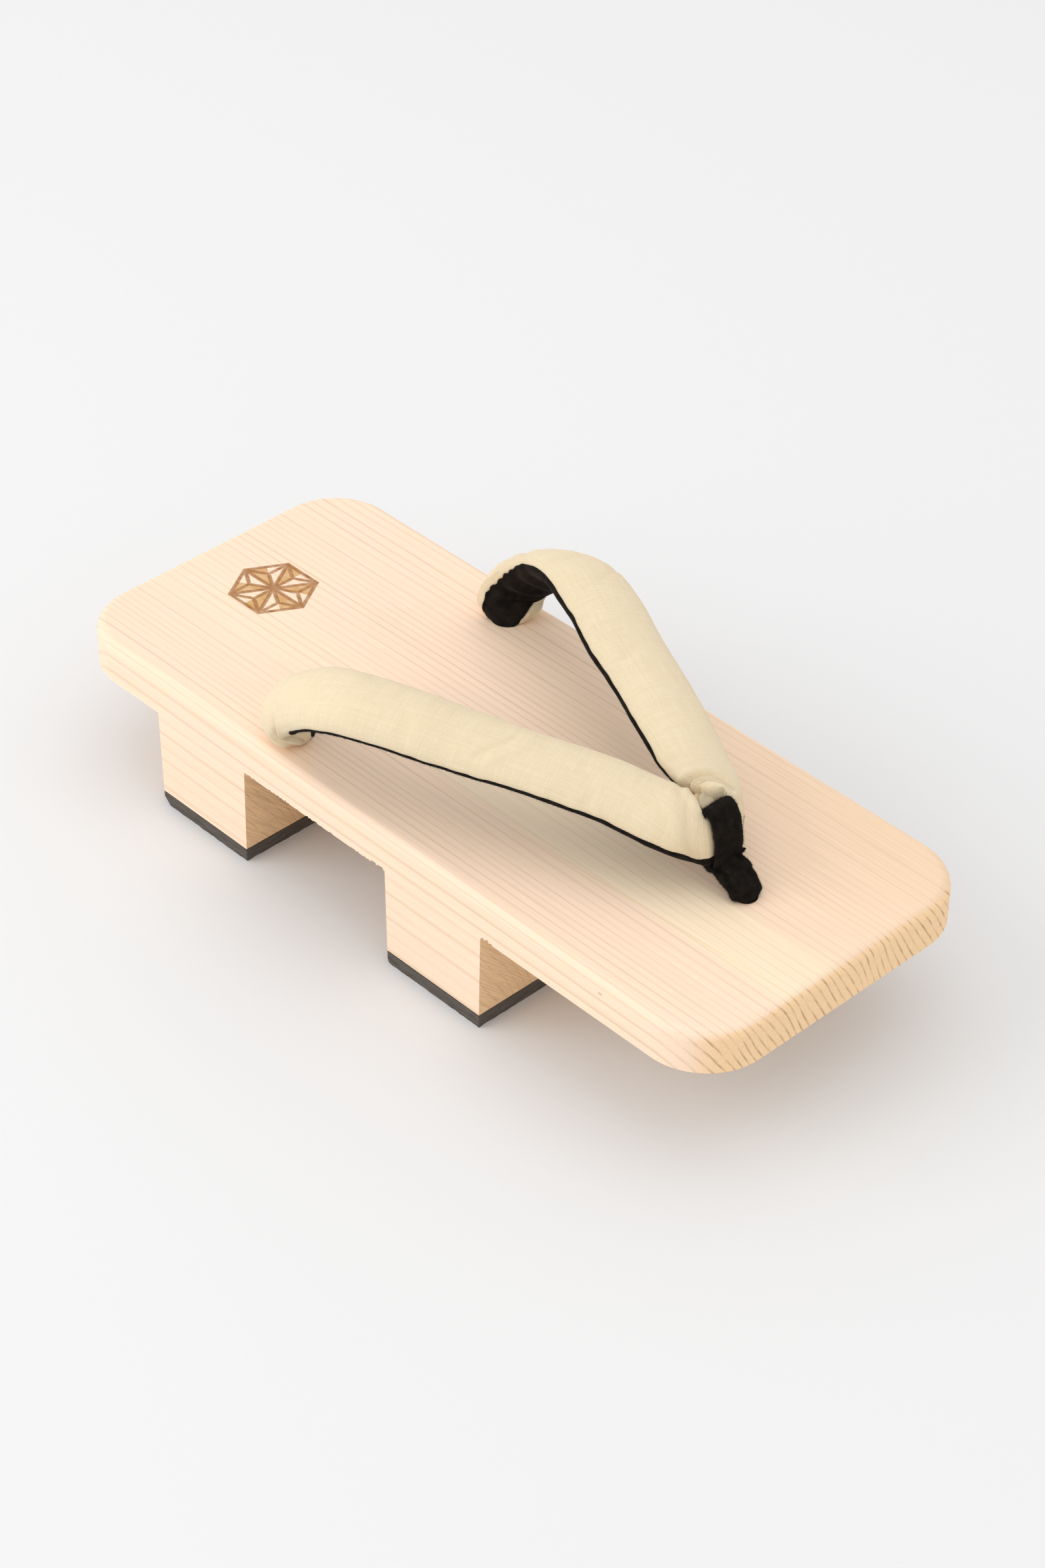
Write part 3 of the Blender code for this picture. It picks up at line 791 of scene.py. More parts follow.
# Tucks that run out from the band: turn in degrees, depth in mm, width in degrees, reach in mm
BAND_TUCKS_RIGHT = ((150, 0.55, 9, 8), (112, 0.35, 10, 9), (60, 0.30, 12, 7), (20, 0.20, 10, 6))
BAND_TUCKS_LEFT = ((160, 0.30, 10, 13), (134, 0.55, 10, 14), (108, 0.60, 10, 12), (80, 0.45, 10, 9),
                   (40, 0.25, 12, 7))
# Puckers above a heel hole, in the same columns
FOOT_PUCKERS = ((-25, 1.2, 8, 14), (8, 1.7, 8, 15), (40, 1.3, 9, 12), (75, 1.2, 9, 10), (118, 1.1, 10, 12),
                (160, 1.4, 9, 15))

# Creases across the strap: distance from the foot and width in mm, middle and spread in degrees, depth in mm,
# and how far they slant, in mm
CREASES_RIGHT = ((14, 1.2, 8, 34, 2.0, 6), (17, 1.6, 15, 36, -0.6, 6), (31, 1.8, 80, 60, 0.40, 7),
                 (60, 1.5, 50, 45, 0.35, -6), (84, 1.1, 75, 48, 0.60, 8), (88, 1.7, 70, 48, -0.40, 8),
                 (112, 1.7, 40, 40, 0.35, -5))
CREASES_LEFT = ((16, 1.2, 150, 40, 0.9, -5), (22, 1.5, 130, 45, 0.6, 6), (38, 1.9, 100, 50, 0.45, -7),
                (47, 1.5, 60, 50, 0.40, 8), (82, 2.0, 110, 45, 0.40, 7), (104, 1.5, 80, 45, 0.35, -6))


def peak(where, middle, wide):
    """A smooth bump over a place: 1 at its middle, and nearly 0 from twice its width on."""
    return np.exp(-((where - middle) / wide) ** 2)


def wrapped(degrees):
    """Degrees from -180 to 180."""
    return (degrees + 180) % 360 - 180


def by_walk(walk, places, values):
    """A column of values, read by the distance walked from rows of places in mm and their values."""
    return np.interp(walk / MM, places, values)[:, None]


def line_folds(turns, walk, rows, curve):
    """Grooves that start at walk 0 and fade. curve bends them sideways as they go, in degrees."""
    depth = np.zeros((len(walk), len(turns)))
    degrees = np.degrees(turns)[None, :]
    far = np.maximum(walk, 0)[:, None] / MM
    for turn, deep, wide, reach in rows:
        bent = wrapped(degrees - turn - curve * (far / reach) ** 2)
        groove = peak(bent, 0, wide) - 0.45 * peak(bent, 1.9 * wide, wide)
        depth -= deep * MM * groove * np.clip(1 - far / reach, 0, 1) ** 1.3
    return depth


def creases(turns, rows):
    """Grooves across the strap, or ridges where the depth is negative."""
    degrees = np.degrees(turns)[None, :]
    walk = FOOT_WALK[:, None] / MM
    depth = np.zeros((len(FOOT_WALK), len(turns)))
    for place, wide, middle, spread, deep, slant in rows:
        turned = wrapped(degrees - middle) / spread
        bent = walk - place - slant * turned * 0.5 - 1.2 * np.sin(3 * turned)
        depth -= deep * MM * np.exp(-(bent / wide) ** 2 - turned ** 2)
    return depth


def noise_over(points, size, seed=0):
    """Random values from -1 to 1 at each point, in patches of about a size."""
    shift = Vector((seed, 0, 0))
    flat = [noise.noise(Vector(point) / size + shift) for point in points.reshape(-1, 3)]
    return np.array(flat).reshape(points.shape[:-1])


def lumps(points, seed):
    """Slow unevenness of the padding, from the place of each point."""
    fine = noise_over(points, LUMP_SIZE / 3.1, seed)
    return LUMP_DEPTH * (noise_over(points, LUMP_SIZE, seed) + 0.3 * fine)


# %% [markdown]
# ## The cloth cover
# Cream cloth wraps the padding and is sewn to a velvet lining along both edges of the foot side. The
# cover is one skin over the whole strap, pulled in where the lining lies.

# %% The lining's edges, which the cover dips under
TURNS = np.linspace(0, 2 * math.pi, SKIN_POINTS, endpoint=False)
# How far the lining's edges move, in degrees, by the distance in mm from the foot and the nose
OUTER_BY_FOOT_RIGHT = ((0, 5, 9, 13, 17, 20, 23.5), (-58, -62, -84, -108, -100, -55, 0))
OUTER_BY_FOOT_LEFT = ((0, 6, 12, 22), (-34, -24, -8, 0))
INNER_BY_FOOT = ((0, 4, 14, 26, 36), (34, 46, 42, 8, 0))
OUTER_BY_NOSE = ((0, 5, 10, 18, 30, 60, 90), (62, 44, 25, 13, 9, 5, 0))
INNER_BY_NOSE_RIGHT = ((0, 8, 14, 20, 30), (48, 46, 30, 10, 0))
INNER_BY_NOSE_LEFT = ((0, 8, 14, 20, 30), (92, 82, 46, 12, 0))
# The edges wander by a few degrees, and the inner one is scalloped near the foot
EDGE_WANDER = 4.0
WANDER_SIZE = 5 * MM
SCALLOP = 3.0
SCALLOP_LENGTH = 3.4 * MM
SCALLOP_BY_FOOT = ((3, 6, 20, 28), (0, 1, 1, 0))


def lining_edges(outer, inner, outer_by_foot, inner_by_nose):
    """The edges of one arm's lining at every section, in degrees. outer and inner hold for most of it."""
    outer = outer + np.interp(FOOT_WALK / MM, *outer_by_foot) + np.interp(NOSE_WALK / MM, *OUTER_BY_NOSE)
    inner = inner + np.interp(FOOT_WALK / MM, *INNER_BY_FOOT) + np.interp(NOSE_WALK / MM, *inner_by_nose)
    uneven = np.array([noise.noise(Vector((walk / WANDER_SIZE, outer[-1], 0))) for walk in FOOT_WALK])
    scallops = SCALLOP * np.sin(2 * math.pi * FOOT_WALK / SCALLOP_LENGTH)
    scallops *= np.interp(FOOT_WALK / MM, *SCALLOP_BY_FOOT)
    return outer + EDGE_WANDER * uneven, inner + EDGE_WANDER * uneven[::-1] + scallops


RIGHT_EDGES = lining_edges(-2, -170, OUTER_BY_FOOT_RIGHT, INNER_BY_NOSE_RIGHT)
LEFT_EDGES = lining_edges(-18, -192, OUTER_BY_FOOT_LEFT, INNER_BY_NOSE_LEFT)


def under_lining(turns, edges):
    """1 where the lining covers the strap and 0 where the cloth shows, with a narrow slope between."""
    degrees = (np.degrees(turns)[None, :] + 270) % 360 - 270
    enter = np.clip((edges[0][:, None] - degrees - 2) / 5, 0, 1)
    leave = np.clip((degrees - edges[1][:, None] - 2) / 5, 0, 1)
    return enter * leave


# %% The cover
LINING_RECESS = 0.5 * MM
CLOTH_ROUND = 50.6 * MM
BUNCH = 2.1 * MM
BULB = 1.0 * MM
# Where the gathers run round, and for each its distance, width and height in mm
GATHER_CENTER = (-1.0 * MM, NOSE_Y - 4 * MM, BOARD_TOP + 23 * MM)
GATHER_ROWS = ((3.6, 0.8, 0.9), (4.9, 0.7, -0.9), (6.2, 0.8, 1.2), (8.2, 1.3, -2.1), (11.0, 1.5, 0.7))


def bunch(turns):
    """Cloth that bunches up beside the band: on the upper edge, and less on the crown."""
    degrees = np.degrees(turns)[None, :]
    edge = peak(degrees, 165, 45) * by_walk(NOSE_WALK, (0, 3, 6, 12), (1, 1, 0.7, 0))
    crown = peak(degrees, 80, 50) * by_walk(NOSE_WALK, (0, 3, 6, 11), (0.6, 1, 0.7, 0))
    return BUNCH * edge + 0.3 * BUNCH * crown


def bulb(turns):
    """The padding that is squeezed out round the front of the foot."""
    degrees = wrapped(np.degrees(turns))[None, :]
    return BULB * peak(degrees, 25, 60) * by_walk(FOOT_WALK, (0, 4, 9, 16), (0.4, 1, 1, 0))


def gathers(points, side):
    """Ridges that run round the top of the band, as a lift for points on the right or mirrored left side."""
    center = np.array((side * GATHER_CENTER[0], *GATHER_CENTER[1:]))
    far = np.linalg.norm(points - center, axis=-1) / MM + 0.9 * noise_over(points, 4 * MM)
    return MM * sum(deep * peak(far, radius, wide) for radius, wide, deep in GATHER_ROWS)


def arm_cover(tucks, crossings, seed, edges, side, gathered):
    """The cover of one arm, as if it were the right one. gathered is its share of the gathers."""
    covered = under_lining(TURNS, edges)
    base = skin(TURNS, np.zeros((len(SECTIONS), SKIN_POINTS)), press=False)
    folds = line_folds(TURNS, FOOT_WALK - 1.5 * MM, FOOT_PUCKERS, 6)
    folds += line_folds(TURNS, NOSE_WALK, tucks, -14)
    folds += gathered * gathers(base, side) + creases(TURNS, crossings)
    swell = (lumps(base, seed) + folds * (1 - covered) + bunch(TURNS) + bulb(TURNS)) * OUT_OF_HOLE
    swell -= LINING_RECESS * by_walk(FOOT_WALK, (0, 2, 24, 34), (1, 2.6, 2.6, 1)) * covered
    return skin(TURNS, swell * OUT_OF_BAND - 0.1 * MM * (1 - OUT_OF_BAND))


def plug(turns, depth, shrink=0.0):
    """A round ring of the strap's end in its heel hole."""
    radius = HEEL_HOLE_DIAMETER / 2 - CLEARANCE - shrink
    center = np.array(HEEL_HOLE) - np.array((0, 0, depth))
    return center + radius * (np.cos(turns)[:, None] * ACROSS[0] + np.sin(turns)[:, None] * CROWN[0])


def ring_faces(rows, columns, closed=False):
    """Faces between rings of points, row by row. An open tube gets a cap at each end."""
    faces = []
    for row in range(rows if closed else rows - 1):
        below = (row + 1) % rows * columns
        for column in range(columns):
            after = (column + 1) % columns
            faces.append((row * columns + column, row * columns + after, below + after, below + column))
    if not closed:
        faces.append(tuple(range(columns)))
        faces.append(tuple(reversed(range((rows - 1) * columns, rows * columns))))
    return faces


def loft(rings, walk, around):
    """Skins rings of points as a closed tube, with a UV map in metres: along the strap and round it."""
    rows, columns = rings.shape[:2]
    mesh = mesh_from(rings.reshape(-1, 3), ring_faces(rows, columns))
    layer = mesh.uv_layers.new(name="cloth").data
    for face in mesh.polygons[:-2]:
        row, column = divmod(face.index, columns)
        for loop, (down, over) in zip(face.loop_indices, ((0, 0), (0, 1), (1, 1), (1, 0))):
            layer[loop].uv = (walk[row + down], (column + over) / columns * around)
    to_mesh(from_mesh(mesh), mesh)
    smooth(mesh, math.radians(75))
    return mesh


def both_arms(right, left):
    """Joins the right arm's rings to the mirrored left arm's, from foot to foot."""
    mirrored = left[::-1].copy()
    mirrored[..., 0] *= -1
    return np.concatenate([right, mirrored[1:]])


hole_end = np.stack([plug(TURNS, STRAP_TUCK), plug(TURNS, 0)])
right = arm_cover(BAND_TUCKS_RIGHT, CREASES_RIGHT, 0, RIGHT_EDGES, 1, 0.25)
left = arm_cover(BAND_TUCKS_LEFT, CREASES_LEFT, 9, LEFT_EDGES, -1, 1.0)
rings = both_arms(np.concatenate([hole_end, right]), np.concatenate([hole_end, left]))
one_way = np.concatenate([[-STRAP_TUCK, 0], FOOT_WALK + 0.5 * MM])
walk = np.concatenate([one_way, 2 * one_way[-1] - one_way[-2::-1]])
cover = new_object("strap_cover", loft(rings, walk, CLOTH_ROUND))
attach(cover, "root")
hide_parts("strap")
print("cover:", len(cover.data.polygons), "faces")

# %% The gathered cloth between the arms
GATHERED_MIDDLE = np.array((-2.0 * MM, NOSE_Y - 6.8 * MM, BOARD_TOP + 17.4 * MM))
GATHERED_HALF = np.array((4.8, 3.6, 4.8)) * MM
GATHERED_UP = 16 * MM
GATHERED_ROUND = 26 * MM


def gathered_cloth(rows, columns):
    """Rings of a small cushion of bunched cloth, which fills the hollow behind the band."""
    tilt = np.linspace(-math.pi / 2 + 0.05, math.pi / 2 - 0.05, rows)[:, None]
    turns = np.linspace(0, 2 * math.pi, columns, endpoint=False)[None, :]
    out = np.stack([np.cos(tilt) * np.cos(turns), np.cos(tilt) * np.sin(turns),
                    np.sin(tilt) + 0 * turns], axis=2)
    points = GATHERED_MIDDLE + out * GATHERED_HALF
    mirrored = points * (-1, 1, 1)
    return points + out * (0.8 * gathers(mirrored, -1))[..., None]


upward = np.linspace(0, GATHERED_UP, 36)
gather = new_object("gathered_cloth", loft(gathered_cloth(len(upward), 60), upward, GATHERED_ROUND))
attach(gather, "root")
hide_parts("strap")
print("gathered cloth:", len(gather.data.polygons), "faces")

# %% [markdown]
# ## The velvet lining
# Black velvet is sewn along the foot side, a little wider than the flat of the strap, so a dark line
# shows along both edges. It is a thin closed band on the same sections, with folds where it turns down
# at the heel.

# %% The lining
LINING_POINTS = 44
LINING_PROUD = 0.12 * MM
LIP_PROUD = 0.42 * MM
LINING_DEPTH = 0.9 * MM
LINING_ROUND = 40 * MM
# Folds where the lining bends down: place at the inner edge in mm from the foot, width and depth in mm. They
# fan out from one place on the outer edge.
FOOT_FOLDS = ((8.0, 1.8, 0.9), (15.0, 2.2, 1.3), (23.0, 2.4, 1.0))
FOLD_MEETING = 16.0
# The columns of faces along both edges, where hairs grow
LIP_COLUMNS = (0, 1, 2, 3, 40, 41, 42)


def arm_lining(seed, edges):
    """The lining of one arm: out over the foot side and back under it."""
    share = np.linspace(0, 1, LINING_POINTS)
    turns = np.radians(edges[0][:, None] + (edges[1] - edges[0])[:, None] * share)
    edge = np.minimum(share, 1 - share)
    lip = np.clip(1 - edge / 0.10, 0, 1) * np.clip(edge / 0.012, 0, 1)
    proud = np.full((len(SECTIONS), LINING_POINTS), LINING_PROUD)
    base = skin(turns, proud, press=False)
    proud += lumps(base, seed) + (LIP_PROUD + 0.22 * MM * noise_over(base, 0.9 * MM)) * lip
    middle = np.sin(math.pi * share)[None, :]
    walk_mm = FOOT_WALK[:, None] / MM
    for place, wide, deep in FOOT_FOLDS:
        fan = FOLD_MEETING + (place - FOLD_MEETING) * np.clip(share * 1.6, 0, 1)[None, :]
        bent = (walk_mm - fan) / (wide * (0.5 + share))
        proud += deep * MM * middle * (peak(bent, 0, 1) - 0.7 * peak(bent, 1.7, 1))
    proud = np.maximum(proud, -0.8 * LINING_RECESS) * OUT_OF_HOLE
    proud = proud * OUT_OF_BAND - 0.05 * MM * (1 - OUT_OF_BAND)
    outer = skin(turns, proud)
    inner = skin(turns, np.full_like(proud, -LINING_DEPTH))
    return np.concatenate([outer, inner[:, ::-1]], axis=1)


def lining_end(depth, edges):
    """The lining's ring in the heel hole."""
    turns = np.radians(np.linspace(edges[0][0], edges[1][0], LINING_POINTS))
    return np.concatenate([plug(turns, depth, -0.05 * MM), plug(turns[::-1], depth, LINING_DEPTH)])


lined = []
for seed, edges in ((0, RIGHT_EDGES), (9, LEFT_EDGES)):
    ends = np.stack([lining_end(STRAP_TUCK * 0.9, edges), lining_end(0, edges)])
    lined.append(np.concatenate([ends, arm_lining(seed, edges)]))
rings = both_arms(*lined)
lining = new_object("strap_lining", loft(rings, walk, LINING_ROUND))
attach(lining, "root")
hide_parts("strap")

# %% [markdown]
# ## The toe thong
# A strip of velvet goes over the nose of the strap, is gathered below it and pulled down into the toe
# hole. Closed forms are made for the loop, the gathered stub and a loose end of the seam. A voxel remesh
# melts them into one soft piece, and noise and a crease give it the look of cloth that was pulled tight.

# %% The loop and its stub
BAND_THICKNESS = 1.9 * MM
BAND_SPREAD = 1.1
STUB_WIDTH = 10.2 * MM
STUB_THICKNESS = 6.6 * MM
# A loose end of the seam beside the band
TUFT_PLACE = Vector((-5.0 * MM, NOSE_Y + 3.6 * MM, BOARD_TOP + 8.2 * MM))
TUFT_WAY = Vector((-1, 0.2, 0.7))
TUFT_LENGTH = 2.2 * MM
TUFT_RADII = (0.6 * MM, 0.3 * MM)
NOSE_CENTER = np.array((0, NOSE_Y, BOARD_TOP + ARM_ROWS[-1][2] * ARCH_HEIGHT))
NOSE_ROLL = math.radians(ARM_ROWS[-1][6])
NOSE_WIDE = ARM_ROWS[-1][3] * STRAP_WIDTH / 2
NOSE_THICK = ARM_ROWS[-1][4] * STRAP_THICKNESS
# ahead is a share of the run from the nose to the hole, up of the nose's height, size of the stub's own
STUB_ROWS = (
    (0.10, 0.500, 0.84),
    (0.34, 0.440, 0.94),
    (0.60, 0.360, 1.00),
    (0.84, 0.235, 0.92),
    (0.985, 0.080, 0.92),
)


def band_loop(stations, points):
    """A flat padded loop round the nose."""
    across = np.array((0, math.cos(NOSE_ROLL), -math.sin(NOSE_ROLL)))
    crown = np.array((0, math.sin(NOSE_ROLL), math.cos(NOSE_ROLL)))
    rings = []
    for station in np.linspace(0, 2 * math.pi, stations, endpoint=False):
        deep = NOSE_THICK * (CROWN_SHARE if math.sin(station) > 0 else 1 - CROWN_SHARE)
        flat = across * math.cos(station) / NOSE_WIDE + crown * math.sin(station) / deep
        flat /= np.linalg.norm(flat)
        on_nose = NOSE_CENTER + across * math.cos(station) * NOSE_WIDE + crown * math.sin(station) * deep
        middle = on_nose + flat * (CLEARANCE + BAND_THICKNESS / 2)
        ring = []
        for turn in np.linspace(0, 2 * math.pi, points, endpoint=False):
            side = math.copysign(abs(math.cos(turn)) ** 0.45, math.cos(turn)) * BAND_WIDTH / 2 * BAND_SPREAD
            rise = math.copysign(abs(math.sin(turn)) ** 0.8, math.sin(turn)) * BAND_THICKNESS / 2
            ring.append(middle + np.array((side, 0, 0)) + flat * rise)
        rings.append(ring)
    return mesh_from(np.array(rings).reshape(-1, 3), ring_faces(stations, points, closed=True))


def stub_rings(points):
    """Rings of the stub from inside the loop to the hole."""
    height = NOSE_CENTER[2] - BOARD_TOP
    ahead, up, size = np.array(STUB_ROWS).T
    values = np.column_stack([0 * ahead, NOSE_Y + ahead * (TOE_HOLE.y - NOSE_Y), BOARD_TOP + up * height,
                              size * STUB_WIDTH / 2, size * STUB_THICKNESS / 2])
    knots = path_length(values[:, :3])
    rows = hermite(knots, values, np.linspace(0, knots[-1], 18))
    tight = TOE_HOLE_DIAMETER / 2 - CLEARANCE
    in_hole = [(0, TOE_HOLE.y, BOARD_TOP - deep, tight, tight) for deep in (0, 3 * MM)]
    rows = np.vstack([rows, *in_hole])
    along = np.gradient(rows[:, :3], axis=0)
    along[-2:] = (0, 0, -1)
    along /= np.linalg.norm(along, axis=1)[:, None]
    turns = np.linspace(0, 2 * math.pi, points, endpoint=False)
    rings = []
    for row, ahead in zip(rows, along):
        over = np.array((0, -ahead[2], ahead[1]))
        gather = 1 + 0.07 * np.cos(turns * 5 + 0.7) + 0.04 * np.cos(turns * 8)
        rings.append(row[:3] + np.outer(np.cos(turns) * gather * row[3], (1, 0, 0))
                     + np.outer(np.sin(turns) * gather * row[4], over))
    return np.array(rings)


stub = stub_rings(32)
builder = from_mesh(band_loop(90, 28), loft(stub, np.zeros(len(stub)), 1.0))
tuft = Matrix.Translation(TUFT_PLACE) @ TUFT_WAY.to_track_quat("Z", "Y").to_matrix().to_4x4()
bmesh.ops.create_cone(builder, cap_ends=True, segments=8, radius1=TUFT_RADII[0], radius2=TUFT_RADII[1],
                      depth=TUFT_LENGTH, matrix=tuft)
thong = new_object("velvet_thong", to_mesh(builder))
melt = thong.modifiers.new("melt", "REMESH")
melt.mode = "VOXEL"
melt.voxel_size = 0.28 * MM
soften = thong.modifiers.new("soften", "SMOOTH")
soften.factor = 0.5
soften.iterations = 4
apply_modifiers(thong)

# %% Creases and an uneven nap on the thong
CREASE_UP = 6.6 * MM
mesh = thong.data
normals = [vertex.normal.copy() for vertex in mesh.vertices]
for vertex, normal in zip(mesh.vertices, normals):
    place = vertex.co.copy()
    up = place.z - BOARD_TOP
    uneven = 0.16 * MM * noise.noise(place / (2.4 * MM)) + 0.07 * MM * noise.noise(place / (0.7 * MM))
    in_front = max(0.0, min(1.0, (place.y - NOSE_Y) / (2 * MM)))
    line = (up - CREASE_UP - 0.12 * place.x) / (0.5 * MM)
    crease = -0.5 * MM * math.exp(-line ** 2) * in_front
    vertex.co = place + normal * (uneven + crease) * max(0.0, min(1.0, (up + 1 * MM) / (2 * MM)))
smooth(mesh, math.radians(80))
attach(thong, "root")
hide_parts("toe_thong")
print("thong:", len(mesh.polygons), "faces")

# %% [markdown]
# ## Woven cloth
# The cover is a plain weave of cream thread, nearly three threads to a millimetre. Each goes over one
# and under the next. The weave follows the strap's own UV map, which is in metres, so the threads
# run along the strap and draw together where it is gathered. Thicker threads here and there show as
# faint streaks.

# %% The weave as a node group
THREAD_PITCH = 0.36 * MM


def make_weave_group():
    """A plain weave over a place in metres: its height, how deep between threads a point is, and slubs."""
    group, given, result = new_group(
        "plain_weave", [("Place", "Vector", (0, 0, 0)), ("Pitch", "Float", THREAD_PITCH)],
        [("Height", "Float"), ("Gap", "Float"), ("Slub", "Float")])
    sway = scaled_noise(group, given["Place"], 1.0, (240, 240, 1), 1.0)
    sway = times(group, maths(group, "SUBTRACT", sway, 0.5), 1.1 * THREAD_PITCH)
    split = split_xyz(group, given["Place"])
    waves = []
    for name in ("X", "Y"):
        thread = maths(group, "DIVIDE", maths(group, "ADD", split[name], sway), given["Pitch"])
        waves.append(maths(group, "SINE", times(group, thread, math.pi)))
    over = times(group, waves[0], waves[1])
    warp = times(group, maths(group, "ABSOLUTE", waves[0]), remap(group, over, -1.0, 1.0, 0.35, 1.0))
    weft = times(group, maths(group, "ABSOLUTE", waves[1]), remap(group, over, -1.0, 1.0, 1.0, 0.35))
    height = maths(group, "MAXIMUM", warp, weft)
    gap = remap(group, height, 0.42, 0.12, smooth=True)
    slub_round = scaled_noise(group, given["Place"], 1.0, (1500, 90, 1), 2.0)
    slub_along = scaled_noise(group, given["Place"], 1.0, (70, 1500, 1), 2.0)
    slub = times(group, maths(group, "ADD", slub_round, slub_along), 0.5)
    fill(result, {"Height": height, "Gap": gap, "Slub": slub})
    return group


WEAVE_GROUP = make_weave_group()

# %% Cream cloth
CREAM = (0.890, 0.752, 0.530)
# Darker tone for the slubs, and painted shade for the gaps between threads
CREAM_SLUB_AND_GAP_SHADE = (0.730, 0.560, 0.325)
CREAM_CLOUDY = (0.860, 0.700, 0.440)


def make_cloth():
    """Cream cloth with a visible weave, and painted shade in the gaps between its threads."""
    material, tree, shader = new_material("cream_cloth")
    coordinates = node(tree, "ShaderNodeTexCoord").outputs
    weave = use_group(tree, WEAVE_GROUP, coordinates["UV"])
    tone = remap(tree, weave["Slub"], 0.36, 0.64)
    color = mix_color(tree, times(tree, tone, 0.32), CREAM, CREAM_SLUB_AND_GAP_SHADE)
    # Painted shade in the gaps between the threads
    color = mix_color(tree, times(tree, weave["Gap"], 0.6), color, CREAM_SLUB_AND_GAP_SHADE)
    cloudy = remap(tree, scaled_noise(tree, coordinates["Object"], 90.0, detail=3.0), 0.35, 0.7, 0.0, 0.10)
    color = mix_color(tree, cloudy, color, CREAM_CLOUDY)
    relief = maths(tree, "MULTIPLY_ADD", weave["Slub"], 0.8, weave["Height"])
    fill(shader, {"Base Color": color, "Roughness": 0.82, "Specular IOR Level": 0.25, "Sheen Weight": 0.15,
                  "Sheen Roughness": 0.5, "Normal": bump(tree, relief, 0.15 * MM, 0.9)})
    return material


paint(make_cloth(), cover, gather)

# %% [markdown]
# ## Velvet
# Velvet is nearly black where it is looked at straight on, and paler at its rim, where light catches the
# ends of the pile. The sheen of the shader gives the rim, and noise gives the brushed patches. Loose
# hairs are made below as real geometry, because they break up the outline.

# %% Black velvet
VELVET_DARK = (0.006, 0.0045, 0.0035)
VELVET_PALE = (0.017, 0.013, 0.010)
VELVET_RIM = (0.9, 0.8, 0.7, 1)


def make_velvet():
    """Black velvet with a short brushed pile."""
    material, tree, shader = new_material("black_velvet")
    place = object_place(tree)
    brushed = scaled_noise(tree, place, 420.0, detail=3.0)
    pile = scaled_noise(tree, place, 4200.0, detail=2.0)
    color = mix_color(tree, remap(tree, brushed, 0.35, 0.7), VELVET_DARK, VELVET_PALE)
    relief = maths(tree, "MULTIPLY_ADD", brushed, 1.5, pile)
    fill(shader, {"Base Color": color, "Roughness": 0.95, "Specular IOR Level": 0.1, "Sheen Weight": 0.04,
                  "Sheen Roughness": 0.45, "Sheen Tint": VELVET_RIM,
                  "Normal": bump(tree, relief, 0.16 * MM, 0.9)})
    return material


VELVET = make_velvet()
paint(VELVET, lining, thong)

# %% [markdown]
# ## Loose hairs on the velvet
# The pile stands out against the pale wood as a soft fuzzy rim, with a few longer hairs. A hair system
# would not survive the export, so Geometry Nodes scatters thin three-sided needles over the velvet,
# tilts and scales each at random from a fixed seed, and turns them into real mesh.

# %% The hair tree
HAIR_RADIUS = 0.030 * MM
HAIR_LEAN = 0.9
SHORTEST_HAIR = 0.35
HAIR_INPUTS = (("Geometry", "Geometry"), ("Density", "Float"), ("Length", "Float"), ("Radius", "Float"),
               ("Seed", "Int"), ("Material", "Material"))


def hair_tree():
    """Scatters tapered hairs over a mesh. Density is the number of hairs per square metre."""
    tree = bpy.data.node_groups.new("scatter_hairs", "GeometryNodeTree")
    for name, kind in HAIR_INPUTS:
        tree.interface.new_socket(name, in_out="INPUT", socket_type="NodeSocket" + kind)
    tree.interface.new_socket("Geometry", in_out="OUTPUT", socket_type="NodeSocketGeometry")
    given = tree.nodes.new("NodeGroupInput").outputs
    seed = given["Seed"]
    scatter = node(tree, "GeometryNodeDistributePointsOnFaces",
                   {"Mesh": given["Geometry"], "Density": given["Density"], "Seed": seed}).outputs
    lean = node(tree, "FunctionNodeRandomValue", {0: (-HAIR_LEAN,) * 3, 1: (HAIR_LEAN,) * 3, "Seed": seed},
                data_type="FLOAT_VECTOR").outputs[0]
    way = vector_maths(tree, "ADD", scatter["Normal"], lean)
    turn = node(tree, "FunctionNodeAlignRotationToVector", {"Vector": way}, axis="Z").outputs[0]
    size = node(tree, "FunctionNodeRandomValue", {2: SHORTEST_HAIR, 3: 1.0, "Seed": seed},
                data_type="FLOAT").outputs[1]
    needle = node(tree, "GeometryNodeMeshCone", {"Vertices": 3, "Radius Top": 0.0, "Depth": given["Length"],
                                                 "Radius Bottom": given["Radius"]}).outputs["Mesh"]
    placed = node(tree, "GeometryNodeInstanceOnPoints", {"Points": scatter["Points"], "Instance": needle,
                                                         "Rotation": turn, "Scale": size}).outputs[0]
    real = node(tree, "GeometryNodeRealizeInstances", {0: placed}).outputs[0]
    values = {"Geometry": real, "Material": given["Material"]}
    dressed = node(tree, "GeometryNodeSetMaterial", values).outputs[0]
    fill(tree.nodes.new("NodeGroupOutput"), {0: dressed})
    return tree


HAIR_TREE = hair_tree()


def grow_hairs(name, mesh, density, length, seed):
    """A piece of hairs over a mesh, as plain mesh."""
    hairs = new_object(name, mesh)
    modifier = hairs.modifiers.new("hairs", "NODES")
    modifier.node_group = HAIR_TREE
    names = {item.name: item.identifier for item in HAIR_TREE.interface.items_tree if item.in_out == "INPUT"}
    values = {"Density": density, "Length": length, "Radius": HAIR_RADIUS, "Seed": seed, "Material": VELVET}
    for key, value in values.items():
        modifier[names[key]] = value
    apply_modifiers(hairs)
    paint(VELVET, hairs)
    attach(hairs, "root")
    print(name + ":", len(hairs.data.polygons), "faces")


